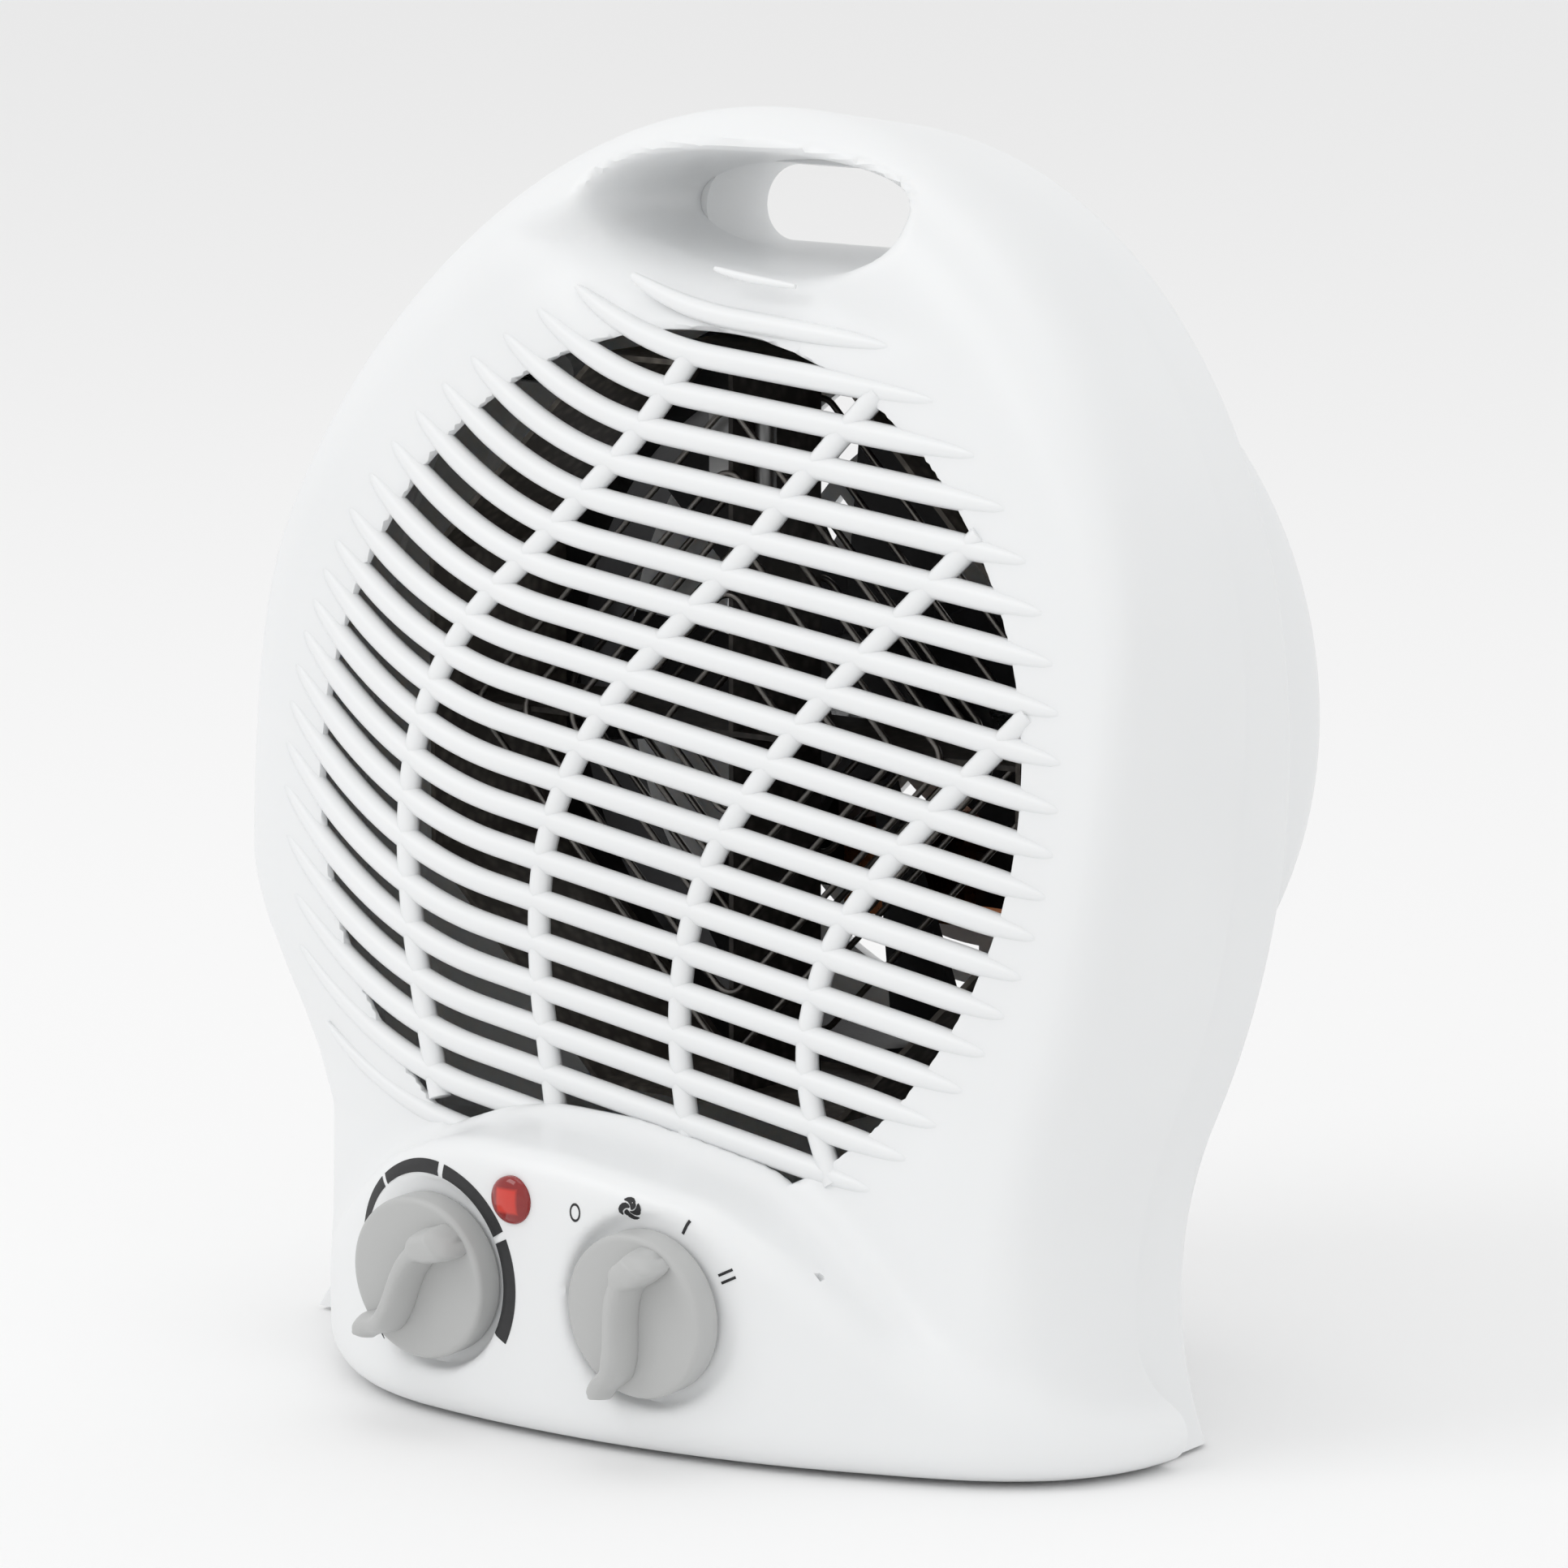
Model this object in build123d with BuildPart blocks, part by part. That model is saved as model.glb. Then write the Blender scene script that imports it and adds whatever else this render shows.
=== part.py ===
from build123d import *
from math import asin, cos, degrees, radians, sin
import os

os.makedirs("parts", exist_ok=True)

# Upright fan heater. The front faces -Y, +X is to the right seen from the front, +Z is up.
# The origin is on the floor, under the middle of the heater.

# Case outline, drawn on the seam plane, which leans back about the floor
lean = 9.0                      # degrees, of the seam and of the front face
seam_foot_y = -8.3              # where the seam plane meets the floor
head_half_width = 100.5
head_half_height = 122.0
head_centre = 110.0             # up the seam plane
waist_height = 60.0             # where the head's ellipse passes into the flared foot
skirt = 12.0                    # the outline runs this far below the floor, then is cut flat
toe_half_width = 108.0          # of the flared foot, at the bottom of the skirt
front_depth = 36.5              # seam plane to front face
band_depth = 18.0               # seam plane to the back of the rear shell's band
wall = 2.2
front_round = 11.0
band_round = 4.0
bottom_round = 4.0

# Control chin, which swells out of the foot of the front shell
chin_centre_y = -10.7
chin_half_width = 103.0
chin_depth = 52.5
chin_top = 52.0
chin_quarter_top = 48.5         # height of its arched top halfway to a shoulder
chin_side_top = 36.0            # and at a shoulder
chin_toe_top = 6.0              # and at the very end of the flared foot
chin_shoulder = 58.0
chin_round = 6.0

# Air path: the duct, fan and drum share one level axis, and the outlet grille is on the face
axis_z = 120.0
grille_centre = 111.5           # up the seam plane
grille_radius = 78.0
grille_sill = 2.5               # the opening stays this far above the chin's arch
slat_pitch = 7.45
slat_width = 4.6
slat_count = 27
slat_sweep = (                  # a slat's line, from its middle: steep at the left, gentle at the right
    (-82.0, 29.0),
    (-60.0, 13.5),
    (-28.0, 3.9),
    (0.0, 0.0),
    (40.0, -6.2),
    (82.0, -13.5),
)
bar_width = 3.8
bar_knees = ((-58.0, -8.0), (-25.7, -22.0), (8.5, -37.0), (37.6, -45.0))
bar_top = (60.0, 87.0)          # from a bar's knee to its upper end
bar_foot = (12.0, -52.0)        # and to its lower end
grille_thickness = 3.0

drum_radius = 77.0
drum_back_y = 74.0
drum_round = 7.0
inlet_gap = 4.2
inlet_pitch = 7.6
inlet_rings = 5
inlet_inner_radius = 28.0
inlet_spokes = 8
spoke_width = 3.4

plinth_half_width = 62.0
plinth_back_y = 46.0
plinth_top = 50.0
plinth_round = 8.0

# Carrying handle: an oval hole through the top of both shells, lower at the back
handle_x = 4.0
handle_half_length = 34.0
handle_floor = 203.0            # height of the hole's underside at the front
handle_front_y = -30.0
handle_front_height = 24.5
handle_back_y = 50.0
handle_back_height = 13.0
handle_floor_rise = 1.0         # of its underside, from the front to the back

# Case screws, placed on the seam plane as (across, up)
case_screws = ((-62.0, 180.0), (62.0, 180.0), (-77.0, 42.0), (77.0, 42.0))
boss_radius = 4.6
screw_radius = 1.5
screw_clearance = 0.1
screw_head_radius = 3.0
screw_head_height = 2.2
screw_head_seat = 12.0          # behind the seam
screw_bite = 12.0               # into the front shell's boss
counterbore_clearance = 0.4

# Rubber pads under the case
pad_stand = 0.8                 # they lift the case this far off the floor
pad_radius = 5.0
pad_pocket = 0.8
pad_places = ((-55.0, -36.0), (55.0, -36.0), (-48.0, 32.0), (48.0, 32.0))

# Controls
knob_spacing = 24.7             # each knob's distance from the middle
knob_z = 27.0
knob_seat_y = -62.2
knob_tilt = -3.5                # degrees; the chin's face looks slightly down
knob_radius = 14.85
knob_front = 3.5
knob_back = -2.4
knob_cup_radius = 12.6
knob_cup_depth = 3.6
knob_hub_radius = 5.5
dish_radius = 17.2
dish_depth = 3.0
dish_floor = 2.0
grip_front = 11.0
grip_width = 5.0
grip_tail = 17.0
grip_head = 13.5
grip_turn = 48.0                # degrees from level, of the thermostat's grip at rest
selector_turn = 63.0            # and of the selector's grip
spindle_radius = 3.0
spindle_clearance = 0.05
spindle_flat = 0.8
spindle_top = 2.2
spindle_depth = 13.0
spindle_end_gap = 0.3
spindle_hole_clearance = 0.8
thermostat_size = (22.0, 20.0, 15.0)
switch_size = (21.0, 20.0, 19.0)
control_screw_x = 8.7
control_screw_radius = 1.2
control_screw_bite = 5.0
control_head_radius = 2.2
control_head_height = 1.2

lamp_x = -4.5
lamp_z = 43.5
lamp_seat_y = -62.4
lens_radius = 4.4
lens_height = 2.6
lens_depth = 6.0
lens_wall = 1.1
lens_round = 2.0
neon_radius = 2.6
neon_length = 12.0

# Heating element
duct_radius = 73.0              # to the corners of the eight-sided mica duct
duct_wall = 1.0
duct_front_y = -10.0
board_thickness = 1.0
board_front_y = -6.0
board_back_y = 20.0
wire_radius = 0.6
wire_bend = 4.0
coil_radii = (16.0, 27.0, 38.0, 49.0, 60.0)
cutout_size = (6.0, 10.0, 13.0)
cutout_z = 173.0
cutout_y = 1.0
fuse_radius = 2.0
fuse_length = 14.0
fuse_z = 170.0

# Fan and motor
shroud_front_y = 28.5
shroud_back_y = 43.5
shroud_bore = 63.0
shroud_wall = 2.0
impeller_front_y = 30.0
impeller_back_y = 42.0
impeller_radius = 60.0
hub_radius = 14.0
blade_count = 7
blade_thickness = 1.6
blade_root_chord = 15.0
blade_tip_chord = 26.0
blade_root_pitch = 42.0
blade_tip_pitch = 22.0
clip_thickness = 1.2
clip_radius = 4.0
shaft_radius = 2.0
shaft_clearance = 0.03
shaft_front_y = 27.0
shaft_back_y = 70.5
bush_radius = 4.5
bush_length = 5.0
bearing_boss_wall = 2.0
bracket_thickness = 1.5
bracket_length = 54.0
bracket_height = 22.0
stator_front_y = 49.5
stator_back_y = 64.5
stator_width = 56.0
stator_top = 18.0               # above the shaft
stator_bottom = -38.0           # below it
rotor_radius = 12.0
rotor_gap = 0.4
rotor_end_gap = 0.5
window_width = 36.0
window_top = -15.0
window_bottom = -28.0
coil_width = 28.0
coil_swell = 3.5                # thickness of the winding around its leg
motor_screw_x = 22.5
motor_screw_radius = 1.6
motor_head_radius = 3.0
motor_head_height = 2.0
motor_screw_end_y = 70.0
post_radius = 4.0

# Mains entry
terminal_size = (38.0, 14.0, 15.0)
terminal_y = 16.0
inlet_x = 34.0
inlet_z = 18.0
grommet_neck = 5.6
grommet_flange = 8.0
grommet_flange_depth = 1.6
grommet_bore = 3.8

seam_plane = Plane(
    origin=(0, seam_foot_y, 0),
    x_dir=(1, 0, 0),
    z_dir=(0, -cos(radians(lean)), sin(radians(lean))),
)
waist_angle = degrees(asin((waist_height - head_centre) / head_half_height))


def finish(name, piece):
    """Label a finished piece and write it out."""
    piece.part.label = name
    export_step(piece.part, f"parts/{name}.step")


def along_y(y, x=0.0, z=axis_z):
    """A plane that looks back along +Y from the given depth."""
    return Plane(origin=(x, y, z), x_dir=(-1, 0, 0), z_dir=(0, 1, 0))


def knob_plane(side):
    """The seat of a knob: x to the right, z out of the chin."""
    return Plane(
        origin=(side * knob_spacing, knob_seat_y, knob_z),
        x_dir=(1, 0, 0),
        z_dir=(0, -cos(radians(knob_tilt)), sin(radians(knob_tilt))),
    )


lamp_plane = Plane(
    origin=(lamp_x, lamp_seat_y, lamp_z),
    x_dir=(1, 0, 0),
    z_dir=(0, -cos(radians(knob_tilt)), sin(radians(knob_tilt))),
)


def case_outline(inset):
    """Head, waist and flared foot of the case, as one closed face."""
    with BuildSketch(mode=Mode.PRIVATE) as outline:
        with BuildLine():
            crown = EllipticalCenterArc(
                (0, head_centre),
                head_half_width - inset,
                head_half_height - inset,
                start_angle=waist_angle,
                arc_size=90 - waist_angle,
            )
            toe = (toe_half_width - inset, -skirt)
            flare = TangentArc(crown @ 0, toe, tangent=-(crown % 0))
            Line(flare @ 1, (0, -skirt))
            mirror(about=Plane.YZ)
        make_face()
    return outline.sketch


def chin_solid(inset):
    """The control chin: an elliptical plan under an arched top."""
    with BuildSketch(mode=Mode.PRIVATE) as arch:
        with BuildLine():
            brow = (chin_shoulder, chin_side_top - inset)
            top = ThreePointArc((0, chin_top - inset), (chin_shoulder / 2, chin_quarter_top - inset), brow)
            side = TangentArc(brow, (toe_half_width, chin_toe_top), tangent=top % 1)
            edge = Line(side @ 1, (toe_half_width, -skirt))
            Line(edge @ 1, (0, -skirt))
            mirror(about=Plane.YZ)
        make_face()
    with BuildPart(mode=Mode.PRIVATE) as chin:
        with BuildSketch(Plane.XY.offset(-skirt)):
            with Locations((0, chin_centre_y)):
                Ellipse(chin_half_width - inset, chin_depth - inset)
        extrude(amount=skirt + chin_top)
        with BuildSketch(Plane.XZ):
            add(arch.sketch)
        extrude(amount=chin_depth * 2, both=True, mode=Mode.INTERSECT)
        arch_edges = chin.edges().filter_by(GeomType.BSPLINE)
        front_edges = arch_edges.filter_by(lambda edge: edge.center().Y < chin_centre_y)
        fillet(front_edges, chin_round - inset)
    return chin.part


def front_solid(inset):
    """The front shell's outer shape, or its hollow when an inset is given."""
    with BuildPart(mode=Mode.PRIVATE) as body:
        with BuildSketch(seam_plane):
            add(case_outline(inset))
        extrude(amount=front_depth - inset)
        front = body.faces().sort_by(Axis(seam_plane.origin, seam_plane.z_dir))[-1]
        fillet(front.edges().sort_by(Axis.Z)[1:], front_round - inset)
        with BuildSketch(Plane.XY.offset(-skirt)):
            with Locations((0, chin_centre_y)):
                Ellipse(chin_half_width - inset, chin_depth - inset)
            with Locations((0, chin_centre_y)):
                Rectangle(3 * chin_half_width, 3 * chin_depth, align=(Align.CENTER, Align.MIN))
        extrude(amount=3 * head_half_height, mode=Mode.INTERSECT)
        add(chin_solid(inset))
        split(bisect_by=seam_plane, keep=Keep.TOP)
        split(bisect_by=Plane.XY.offset(pad_stand + inset), keep=Keep.TOP)
        underside = body.faces().sort_by(Axis.Z)[0]
        fillet(underside.edges().sort_by(Axis.Y)[:-1], bottom_round - inset)
    return body.part


def drum_solid(inset):
    """The round housing behind the case that holds the fan and the motor."""
    with BuildPart(mode=Mode.PRIVATE) as drum:
        with BuildSketch(along_y(0)):
            Circle(drum_radius - inset)
        extrude(amount=drum_back_y - inset)
        fillet(drum.edges().group_by(Axis.Y)[-1], drum_round - inset)
    return drum.part


def plinth_solid(inset):
    """The foot that carries the drum."""
    with BuildPart(mode=Mode.PRIVATE) as plinth:
        with BuildSketch(Plane.XY):
            with Locations((0, seam_foot_y)):
                Rectangle(
                    2 * (plinth_half_width - inset),
                    plinth_back_y - seam_foot_y - inset,
                    align=(Align.CENTER, Align.MIN),
                )
        extrude(amount=plinth_top - inset)
        corners = plinth.edges().filter_by(Axis.Z).group_by(Axis.Y)[-1]
        fillet(corners, plinth_round - inset)
    return plinth.part


def rear_solid(inset):
    """The rear shell's outer shape, or its hollow when an inset is given."""
    with BuildPart(mode=Mode.PRIVATE) as body:
        with BuildSketch(seam_plane):
            add(case_outline(inset))
        extrude(amount=inset - band_depth)
        back = body.faces().sort_by(Axis(seam_plane.origin, seam_plane.z_dir))[0]
        fillet(back.edges().sort_by(Axis.Z)[1:], band_round - inset)
        add(drum_solid(inset))
        add(plinth_solid(inset))
        split(bisect_by=seam_plane, keep=Keep.BOTTOM)
        split(bisect_by=Plane.XY.offset(pad_stand + inset), keep=Keep.TOP)
    return body.part


def handle_slot(margin):
    """The handle's opening: an oval that tapers as it runs back through both shells."""
    length = 2 * (handle_half_length + margin)
    with BuildPart(mode=Mode.PRIVATE) as slot:
        for y, floor, height in (
            (handle_front_y, handle_floor, handle_front_height),
            (handle_back_y, handle_floor + handle_floor_rise, handle_back_height),
        ):
            middle = (handle_x, y, floor + height / 2)
            with BuildSketch(Plane(origin=middle, x_dir=(1, 0, 0), z_dir=(0, -1, 0))):
                SlotOverall(length, height + 2 * margin)
        loft()
    return slot.part


def boss_pins(radius, front, back):
    """Cylinders on the case screws' lines, between two depths from the seam."""
    with BuildPart(mode=Mode.PRIVATE) as pins:
        with BuildSketch(seam_plane.offset(back)):
            with Locations(*case_screws):
                Circle(radius)
        extrude(amount=front - back)
    return pins.part


def knob_cups():
    """Solid rounds behind the chin's face that the knobs' dishes are sunk into."""
    with BuildPart(mode=Mode.PRIVATE) as cups:
        for side in (-1, 1):
            with BuildSketch(knob_plane(side).offset(-dish_depth - dish_floor)):
                Circle(dish_radius + wall)
            extrude(amount=2 * dish_depth + dish_floor)
    return cups.part


def face_height(z):
    """Distance up the front face of a point at height z."""
    return (z - front_depth * sin(radians(lean))) / cos(radians(lean))


def outlet(margin):
    """The outlet opening on the front face: a circle cut off above the chin's arch."""
    with BuildSketch(mode=Mode.PRIVATE) as opening:
        with Locations((0, grille_centre)):
            Circle(grille_radius + margin)
        with BuildLine():
            peak = face_height(chin_top) + grille_sill
            quarter = face_height(chin_quarter_top) + grille_sill
            brow = face_height(chin_side_top) + grille_sill
            arch = ThreePointArc((0, peak), (chin_shoulder / 2, quarter), (chin_shoulder, brow))
            Polyline(arch @ 1, (chin_shoulder, 0), (0, 0))
            mirror(about=Plane.YZ)
        make_face(mode=Mode.SUBTRACT)
    return opening.sketch


def grille_bars():
    """Curved slats and the four bars that cross them, in the outlet opening."""
    with BuildSketch(mode=Mode.PRIVATE) as grille:
        for number in range(slat_count):
            level = grille_centre + (number - (slat_count - 1) / 2) * slat_pitch
            with BuildLine() as slat:
                Spline(*[(across, level + up) for across, up in slat_sweep])
            trace(slat.line, slat_width)
        for across, up in bar_knees:
            level = grille_centre + up
            with BuildLine() as bar:
                ThreePointArc(
                    (across + bar_top[0], level + bar_top[1]),
                    (across, level),
                    (across + bar_foot[0], level + bar_foot[1]),
                )
            trace(bar.line, bar_width)
        add(outlet(wall / 4), mode=Mode.INTERSECT)
    return grille.sketch


front_outer = front_solid(0)
rear_outer = rear_solid(0)
face_plane = seam_plane.offset(front_depth)
bosses = boss_pins(boss_radius, front_depth, -band_depth)
front_linings = front_outer & (handle_slot(wall) + bosses + knob_cups())
rear_linings = rear_outer & (handle_slot(wall) + bosses)

with BuildPart() as front_shell:
    add(front_outer)
    add(front_solid(wall), mode=Mode.SUBTRACT)
    with BuildSketch(face_plane):
        add(outlet(0))
    extrude(amount=-2 * wall, both=True, mode=Mode.SUBTRACT)
    with BuildSketch(face_plane):
        add(grille_bars())
    extrude(amount=-grille_thickness)
    add(front_linings)
    add(handle_slot(0), mode=Mode.SUBTRACT)
    add(boss_pins(screw_radius + screw_clearance, screw_bite, 0), mode=Mode.SUBTRACT)
    for side in (-1, 1):
        dish = knob_plane(side).offset(-dish_depth)
        with BuildSketch(dish):
            Circle(dish_radius)
        extrude(amount=3 * dish_depth, mode=Mode.SUBTRACT)
        with BuildSketch(dish):
            Circle(spindle_radius + spindle_hole_clearance)
            with Locations((-control_screw_x, 0), (control_screw_x, 0)):
                Circle(control_screw_radius + screw_clearance)
        extrude(amount=-2 * dish_floor, mode=Mode.SUBTRACT)
    with BuildSketch(lamp_plane):
        Circle(lens_radius)
    extrude(amount=2 * wall, both=True, mode=Mode.SUBTRACT)
    with BuildSketch(Plane.XY.offset(pad_stand)):
        with Locations(*pad_places[:2]):
            Circle(pad_radius + screw_clearance)
    extrude(amount=pad_pocket, mode=Mode.SUBTRACT)
finish("front_shell", front_shell)

with BuildPart() as rear_shell:
    add(rear_outer)
    add(rear_solid(wall), mode=Mode.SUBTRACT)
    with BuildSketch(along_y(drum_back_y - 2 * wall)):
        for ring in reversed(range(inlet_rings)):
            inner = inlet_inner_radius + ring * inlet_pitch
            Circle(inner + inlet_gap)
            Circle(inner, mode=Mode.SUBTRACT)
        with PolarLocations(0, inlet_spokes):
            Rectangle(drum_radius, spoke_width, align=(Align.MIN, Align.CENTER), mode=Mode.SUBTRACT)
    extrude(amount=3 * wall, mode=Mode.SUBTRACT)
    with BuildSketch(along_y(stator_back_y + bracket_thickness)):
        with Locations((-motor_screw_x, 0), (motor_screw_x, 0)):
            Circle(post_radius)
    extrude(amount=drum_back_y - wall - stator_back_y - bracket_thickness)
    with BuildSketch(along_y(stator_back_y + bracket_thickness)):
        with Locations((-motor_screw_x, 0), (motor_screw_x, 0)):
            Circle(motor_screw_radius + screw_clearance)
    extrude(amount=motor_screw_end_y - stator_back_y - bracket_thickness, mode=Mode.SUBTRACT)
    add(rear_linings)
    add(handle_slot(0), mode=Mode.SUBTRACT)
    add(boss_pins(screw_radius + screw_clearance, 0, -band_depth), mode=Mode.SUBTRACT)
    counterbore = screw_head_radius + counterbore_clearance
    add(boss_pins(counterbore, -screw_head_seat, -2 * band_depth), mode=Mode.SUBTRACT)
    with BuildSketch(along_y(plinth_back_y - 2 * wall, inlet_x, inlet_z)):
        Circle(grommet_neck)
    extrude(amount=3 * wall, mode=Mode.SUBTRACT)
    with BuildSketch(Plane.XY.offset(pad_stand)):
        with Locations(*pad_places[2:]):
            Circle(pad_radius + screw_clearance)
    extrude(amount=pad_pocket, mode=Mode.SUBTRACT)
finish("rear_shell", rear_shell)

with BuildPart() as case_screws_piece:
    add(boss_pins(screw_radius, screw_bite, -screw_head_seat))
    add(boss_pins(screw_head_radius, -screw_head_seat, -screw_head_seat - screw_head_height))
finish("case_screws", case_screws_piece)

with BuildPart() as rubber_pads:
    with BuildSketch(Plane.XY):
        with Locations(*pad_places):
            Circle(pad_radius)
    extrude(amount=pad_stand + pad_pocket)
finish("rubber_pads", rubber_pads)

with BuildPart() as cord_grommet:
    neck_start = plinth_back_y - wall - grommet_flange_depth
    with BuildSketch(along_y(neck_start, inlet_x, inlet_z)):
        Circle(grommet_neck)
    extrude(amount=wall + 2 * grommet_flange_depth)
    with BuildSketch(
        along_y(neck_start, inlet_x, inlet_z),
        along_y(plinth_back_y, inlet_x, inlet_z),
    ):
        Circle(grommet_flange)
    extrude(amount=grommet_flange_depth)
    with BuildSketch(along_y(neck_start, inlet_x, inlet_z)):
        Circle(grommet_bore)
    extrude(amount=wall + 2 * grommet_flange_depth, mode=Mode.SUBTRACT)
finish("cord_grommet", cord_grommet)

with BuildPart() as terminal_block:
    with BuildSketch(Plane.XY.offset(pad_stand + wall)):
        with Locations((0, terminal_y)):
            Rectangle(terminal_size[0], terminal_size[1])
    extrude(amount=terminal_size[2])
    top = terminal_block.faces().sort_by(Axis.Z)[-1]
    with BuildSketch(Plane(top)):
        with GridLocations(terminal_size[0] / 3, terminal_size[1] / 2, 3, 2):
            Circle(2.0)
    extrude(amount=-4.0, mode=Mode.SUBTRACT)
    chamfer(terminal_block.edges().filter_by(Axis.Z), 1.0)
finish("terminal_block", terminal_block)


# Controls

def make_knob(name, side, turn):
    """A knob: a cup-backed disc with a raised grip that overhangs its edge at the tail."""
    seat = knob_plane(side)
    with BuildPart(mode=Mode.PRIVATE) as knob:
        with BuildSketch(seat.offset(knob_back)):
            Circle(knob_radius)
        extrude(amount=knob_front - knob_back)
        fillet(knob.edges().group_by(Axis(seat.origin, seat.z_dir))[-1], 0.8)
        with BuildSketch(seat.offset(knob_back)):
            Circle(knob_cup_radius)
            Circle(knob_hub_radius, mode=Mode.SUBTRACT)
        extrude(amount=knob_cup_depth, mode=Mode.SUBTRACT)
        with BuildSketch(seat.offset(knob_front - 1)):
            with BuildLine(Plane.XY.rotated((0, 0, turn))):
                Spline(
                    (grip_head, 0),
                    (grip_head * 0.4, grip_width * 0.2),
                    (-grip_tail * 0.4, -grip_width * 0.2),
                    (-grip_tail, 0),
                )
            trace(line_width=grip_width)
        extrude(amount=grip_front - knob_front + 1)
        with BuildSketch(seat.offset(knob_back)):
            Circle(spindle_radius + spindle_clearance)
            with Locations((0, spindle_radius - spindle_flat + spindle_clearance)):
                Rectangle(4 * spindle_radius, spindle_radius, align=(Align.CENTER, Align.MIN),
                          mode=Mode.SUBTRACT)
        extrude(amount=spindle_top - knob_back, mode=Mode.SUBTRACT)
    knob.part.label = name
    export_step(knob.part, f"parts/{name}.step")


def make_spindle(name, side):
    """A D-shaped spindle that carries a knob and turns in its control."""
    seat = knob_plane(side)
    with BuildPart(mode=Mode.PRIVATE) as spindle:
        with BuildSketch(seat.offset(-spindle_depth)):
            Circle(spindle_radius)
        extrude(amount=spindle_depth + spindle_top)
        with BuildSketch(seat.offset(knob_back)):
            with Locations((0, spindle_radius - spindle_flat)):
                Rectangle(4 * spindle_radius, spindle_radius, align=(Align.CENTER, Align.MIN))
        extrude(amount=2 * spindle_top - knob_back, mode=Mode.SUBTRACT)
    spindle.part.label = name
    export_step(spindle.part, f"parts/{name}.step")


def make_control(name, side, size):
    """The boxed control behind a knob, bored for its spindle."""
    seat = knob_plane(side)
    front = -dish_depth - dish_floor
    with BuildPart(mode=Mode.PRIVATE) as control:
        with BuildSketch(seat.offset(front - size[2])):
            RectangleRounded(size[0], size[1], 2.0)
        extrude(amount=size[2])
        with BuildSketch(seat.offset(front)):
            Circle(spindle_radius + spindle_clearance)
        extrude(amount=-spindle_depth - spindle_end_gap - front, mode=Mode.SUBTRACT)
        with BuildSketch(seat.offset(front)):
            with Locations((-control_screw_x, 0), (control_screw_x, 0)):
                Circle(control_screw_radius + screw_clearance)
        extrude(amount=-control_screw_bite, mode=Mode.SUBTRACT)
    control.part.label = name
    export_step(control.part, f"parts/{name}.step")


make_knob("thermostat_knob", -1, grip_turn)
make_knob("selector_knob", 1, selector_turn)
make_spindle("thermostat_spindle", -1)
make_spindle("selector_spindle", 1)
make_control("thermostat_body", -1, thermostat_size)
make_control("selector_switch", 1, switch_size)

with BuildPart() as control_screws:
    for side in (-1, 1):
        dish = knob_plane(side).offset(-dish_depth)
        with BuildSketch(dish):
            with Locations((-control_screw_x, 0), (control_screw_x, 0)):
                Circle(control_screw_radius)
        extrude(amount=-dish_floor - control_screw_bite + screw_clearance)
        with BuildSketch(dish):
            with Locations((-control_screw_x, 0), (control_screw_x, 0)):
                Circle(control_head_radius)
        extrude(amount=control_head_height)
finish("control_screws", control_screws)

with BuildPart() as lamp_lens:
    with BuildSketch(lamp_plane.offset(-lens_depth)):
        Circle(lens_radius)
    extrude(amount=lens_depth + lens_height)
    fillet(lamp_lens.edges().group_by(Axis(lamp_plane.origin, lamp_plane.z_dir))[-1], lens_round)
    with BuildSketch(lamp_plane.offset(-lens_depth)):
        Circle(lens_radius - lens_wall)
    extrude(amount=lens_depth, mode=Mode.SUBTRACT)
finish("lamp_lens", lamp_lens)

with BuildPart() as neon_lamp:
    with BuildSketch(lamp_plane):
        Circle(neon_radius)
    extrude(amount=-neon_length)
    fillet(neon_lamp.edges().filter_by(GeomType.CIRCLE), neon_radius / 2)
finish("neon_lamp", neon_lamp)


# Heating element

duct_flat = duct_radius * cos(radians(22.5))
board_half_span = duct_flat - duct_wall

with BuildPart() as mica_duct:
    with BuildSketch(along_y(duct_front_y)):
        RegularPolygon(duct_radius, 8, rotation=22.5)
        RegularPolygon(duct_flat - duct_wall, 8, major_radius=False, rotation=22.5, mode=Mode.SUBTRACT)
    extrude(amount=shroud_front_y - duct_front_y)
finish("mica_duct", mica_duct)


def make_board(name, upright, slot_from, slot_to):
    """One of the two mica boards that halve into each other."""
    across = board_thickness if upright else 2 * board_half_span
    high = 2 * board_half_span if upright else board_thickness
    with BuildPart(mode=Mode.PRIVATE) as board:
        with BuildSketch(along_y(board_front_y)):
            Rectangle(across, high)
        extrude(amount=board_back_y - board_front_y)
        with BuildSketch(along_y(slot_from)):
            Rectangle(board_thickness, board_thickness)
        extrude(amount=slot_to - slot_from, mode=Mode.SUBTRACT)
    board.part.label = name
    export_step(board.part, f"parts/{name}.step")


board_middle_y = (board_front_y + board_back_y) / 2
make_board("mica_board_upright", True, board_front_y, board_middle_y)
make_board("mica_board_level", False, board_middle_y, board_back_y)


def make_coil(name, y):
    """Resistance wire wound round the ends of the boards, as square loops."""
    with BuildPart(mode=Mode.PRIVATE) as coil:
        for reach in coil_radii:
            with BuildLine(along_y(y)) as loop:
                FilletPolyline((reach, 0), (0, reach), (-reach, 0), (0, -reach),
                               radius=wire_bend, close=True)
            start = loop.line.edges()[0]
            with BuildSketch(Plane(origin=start @ 0.5, z_dir=start % 0.5)):
                Circle(wire_radius)
            sweep(path=loop.line)
    coil.part.label = name
    export_step(coil.part, f"parts/{name}.step")


make_coil("heating_wire_front", board_front_y - wire_radius)
make_coil("heating_wire_back", board_back_y + wire_radius)

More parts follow.
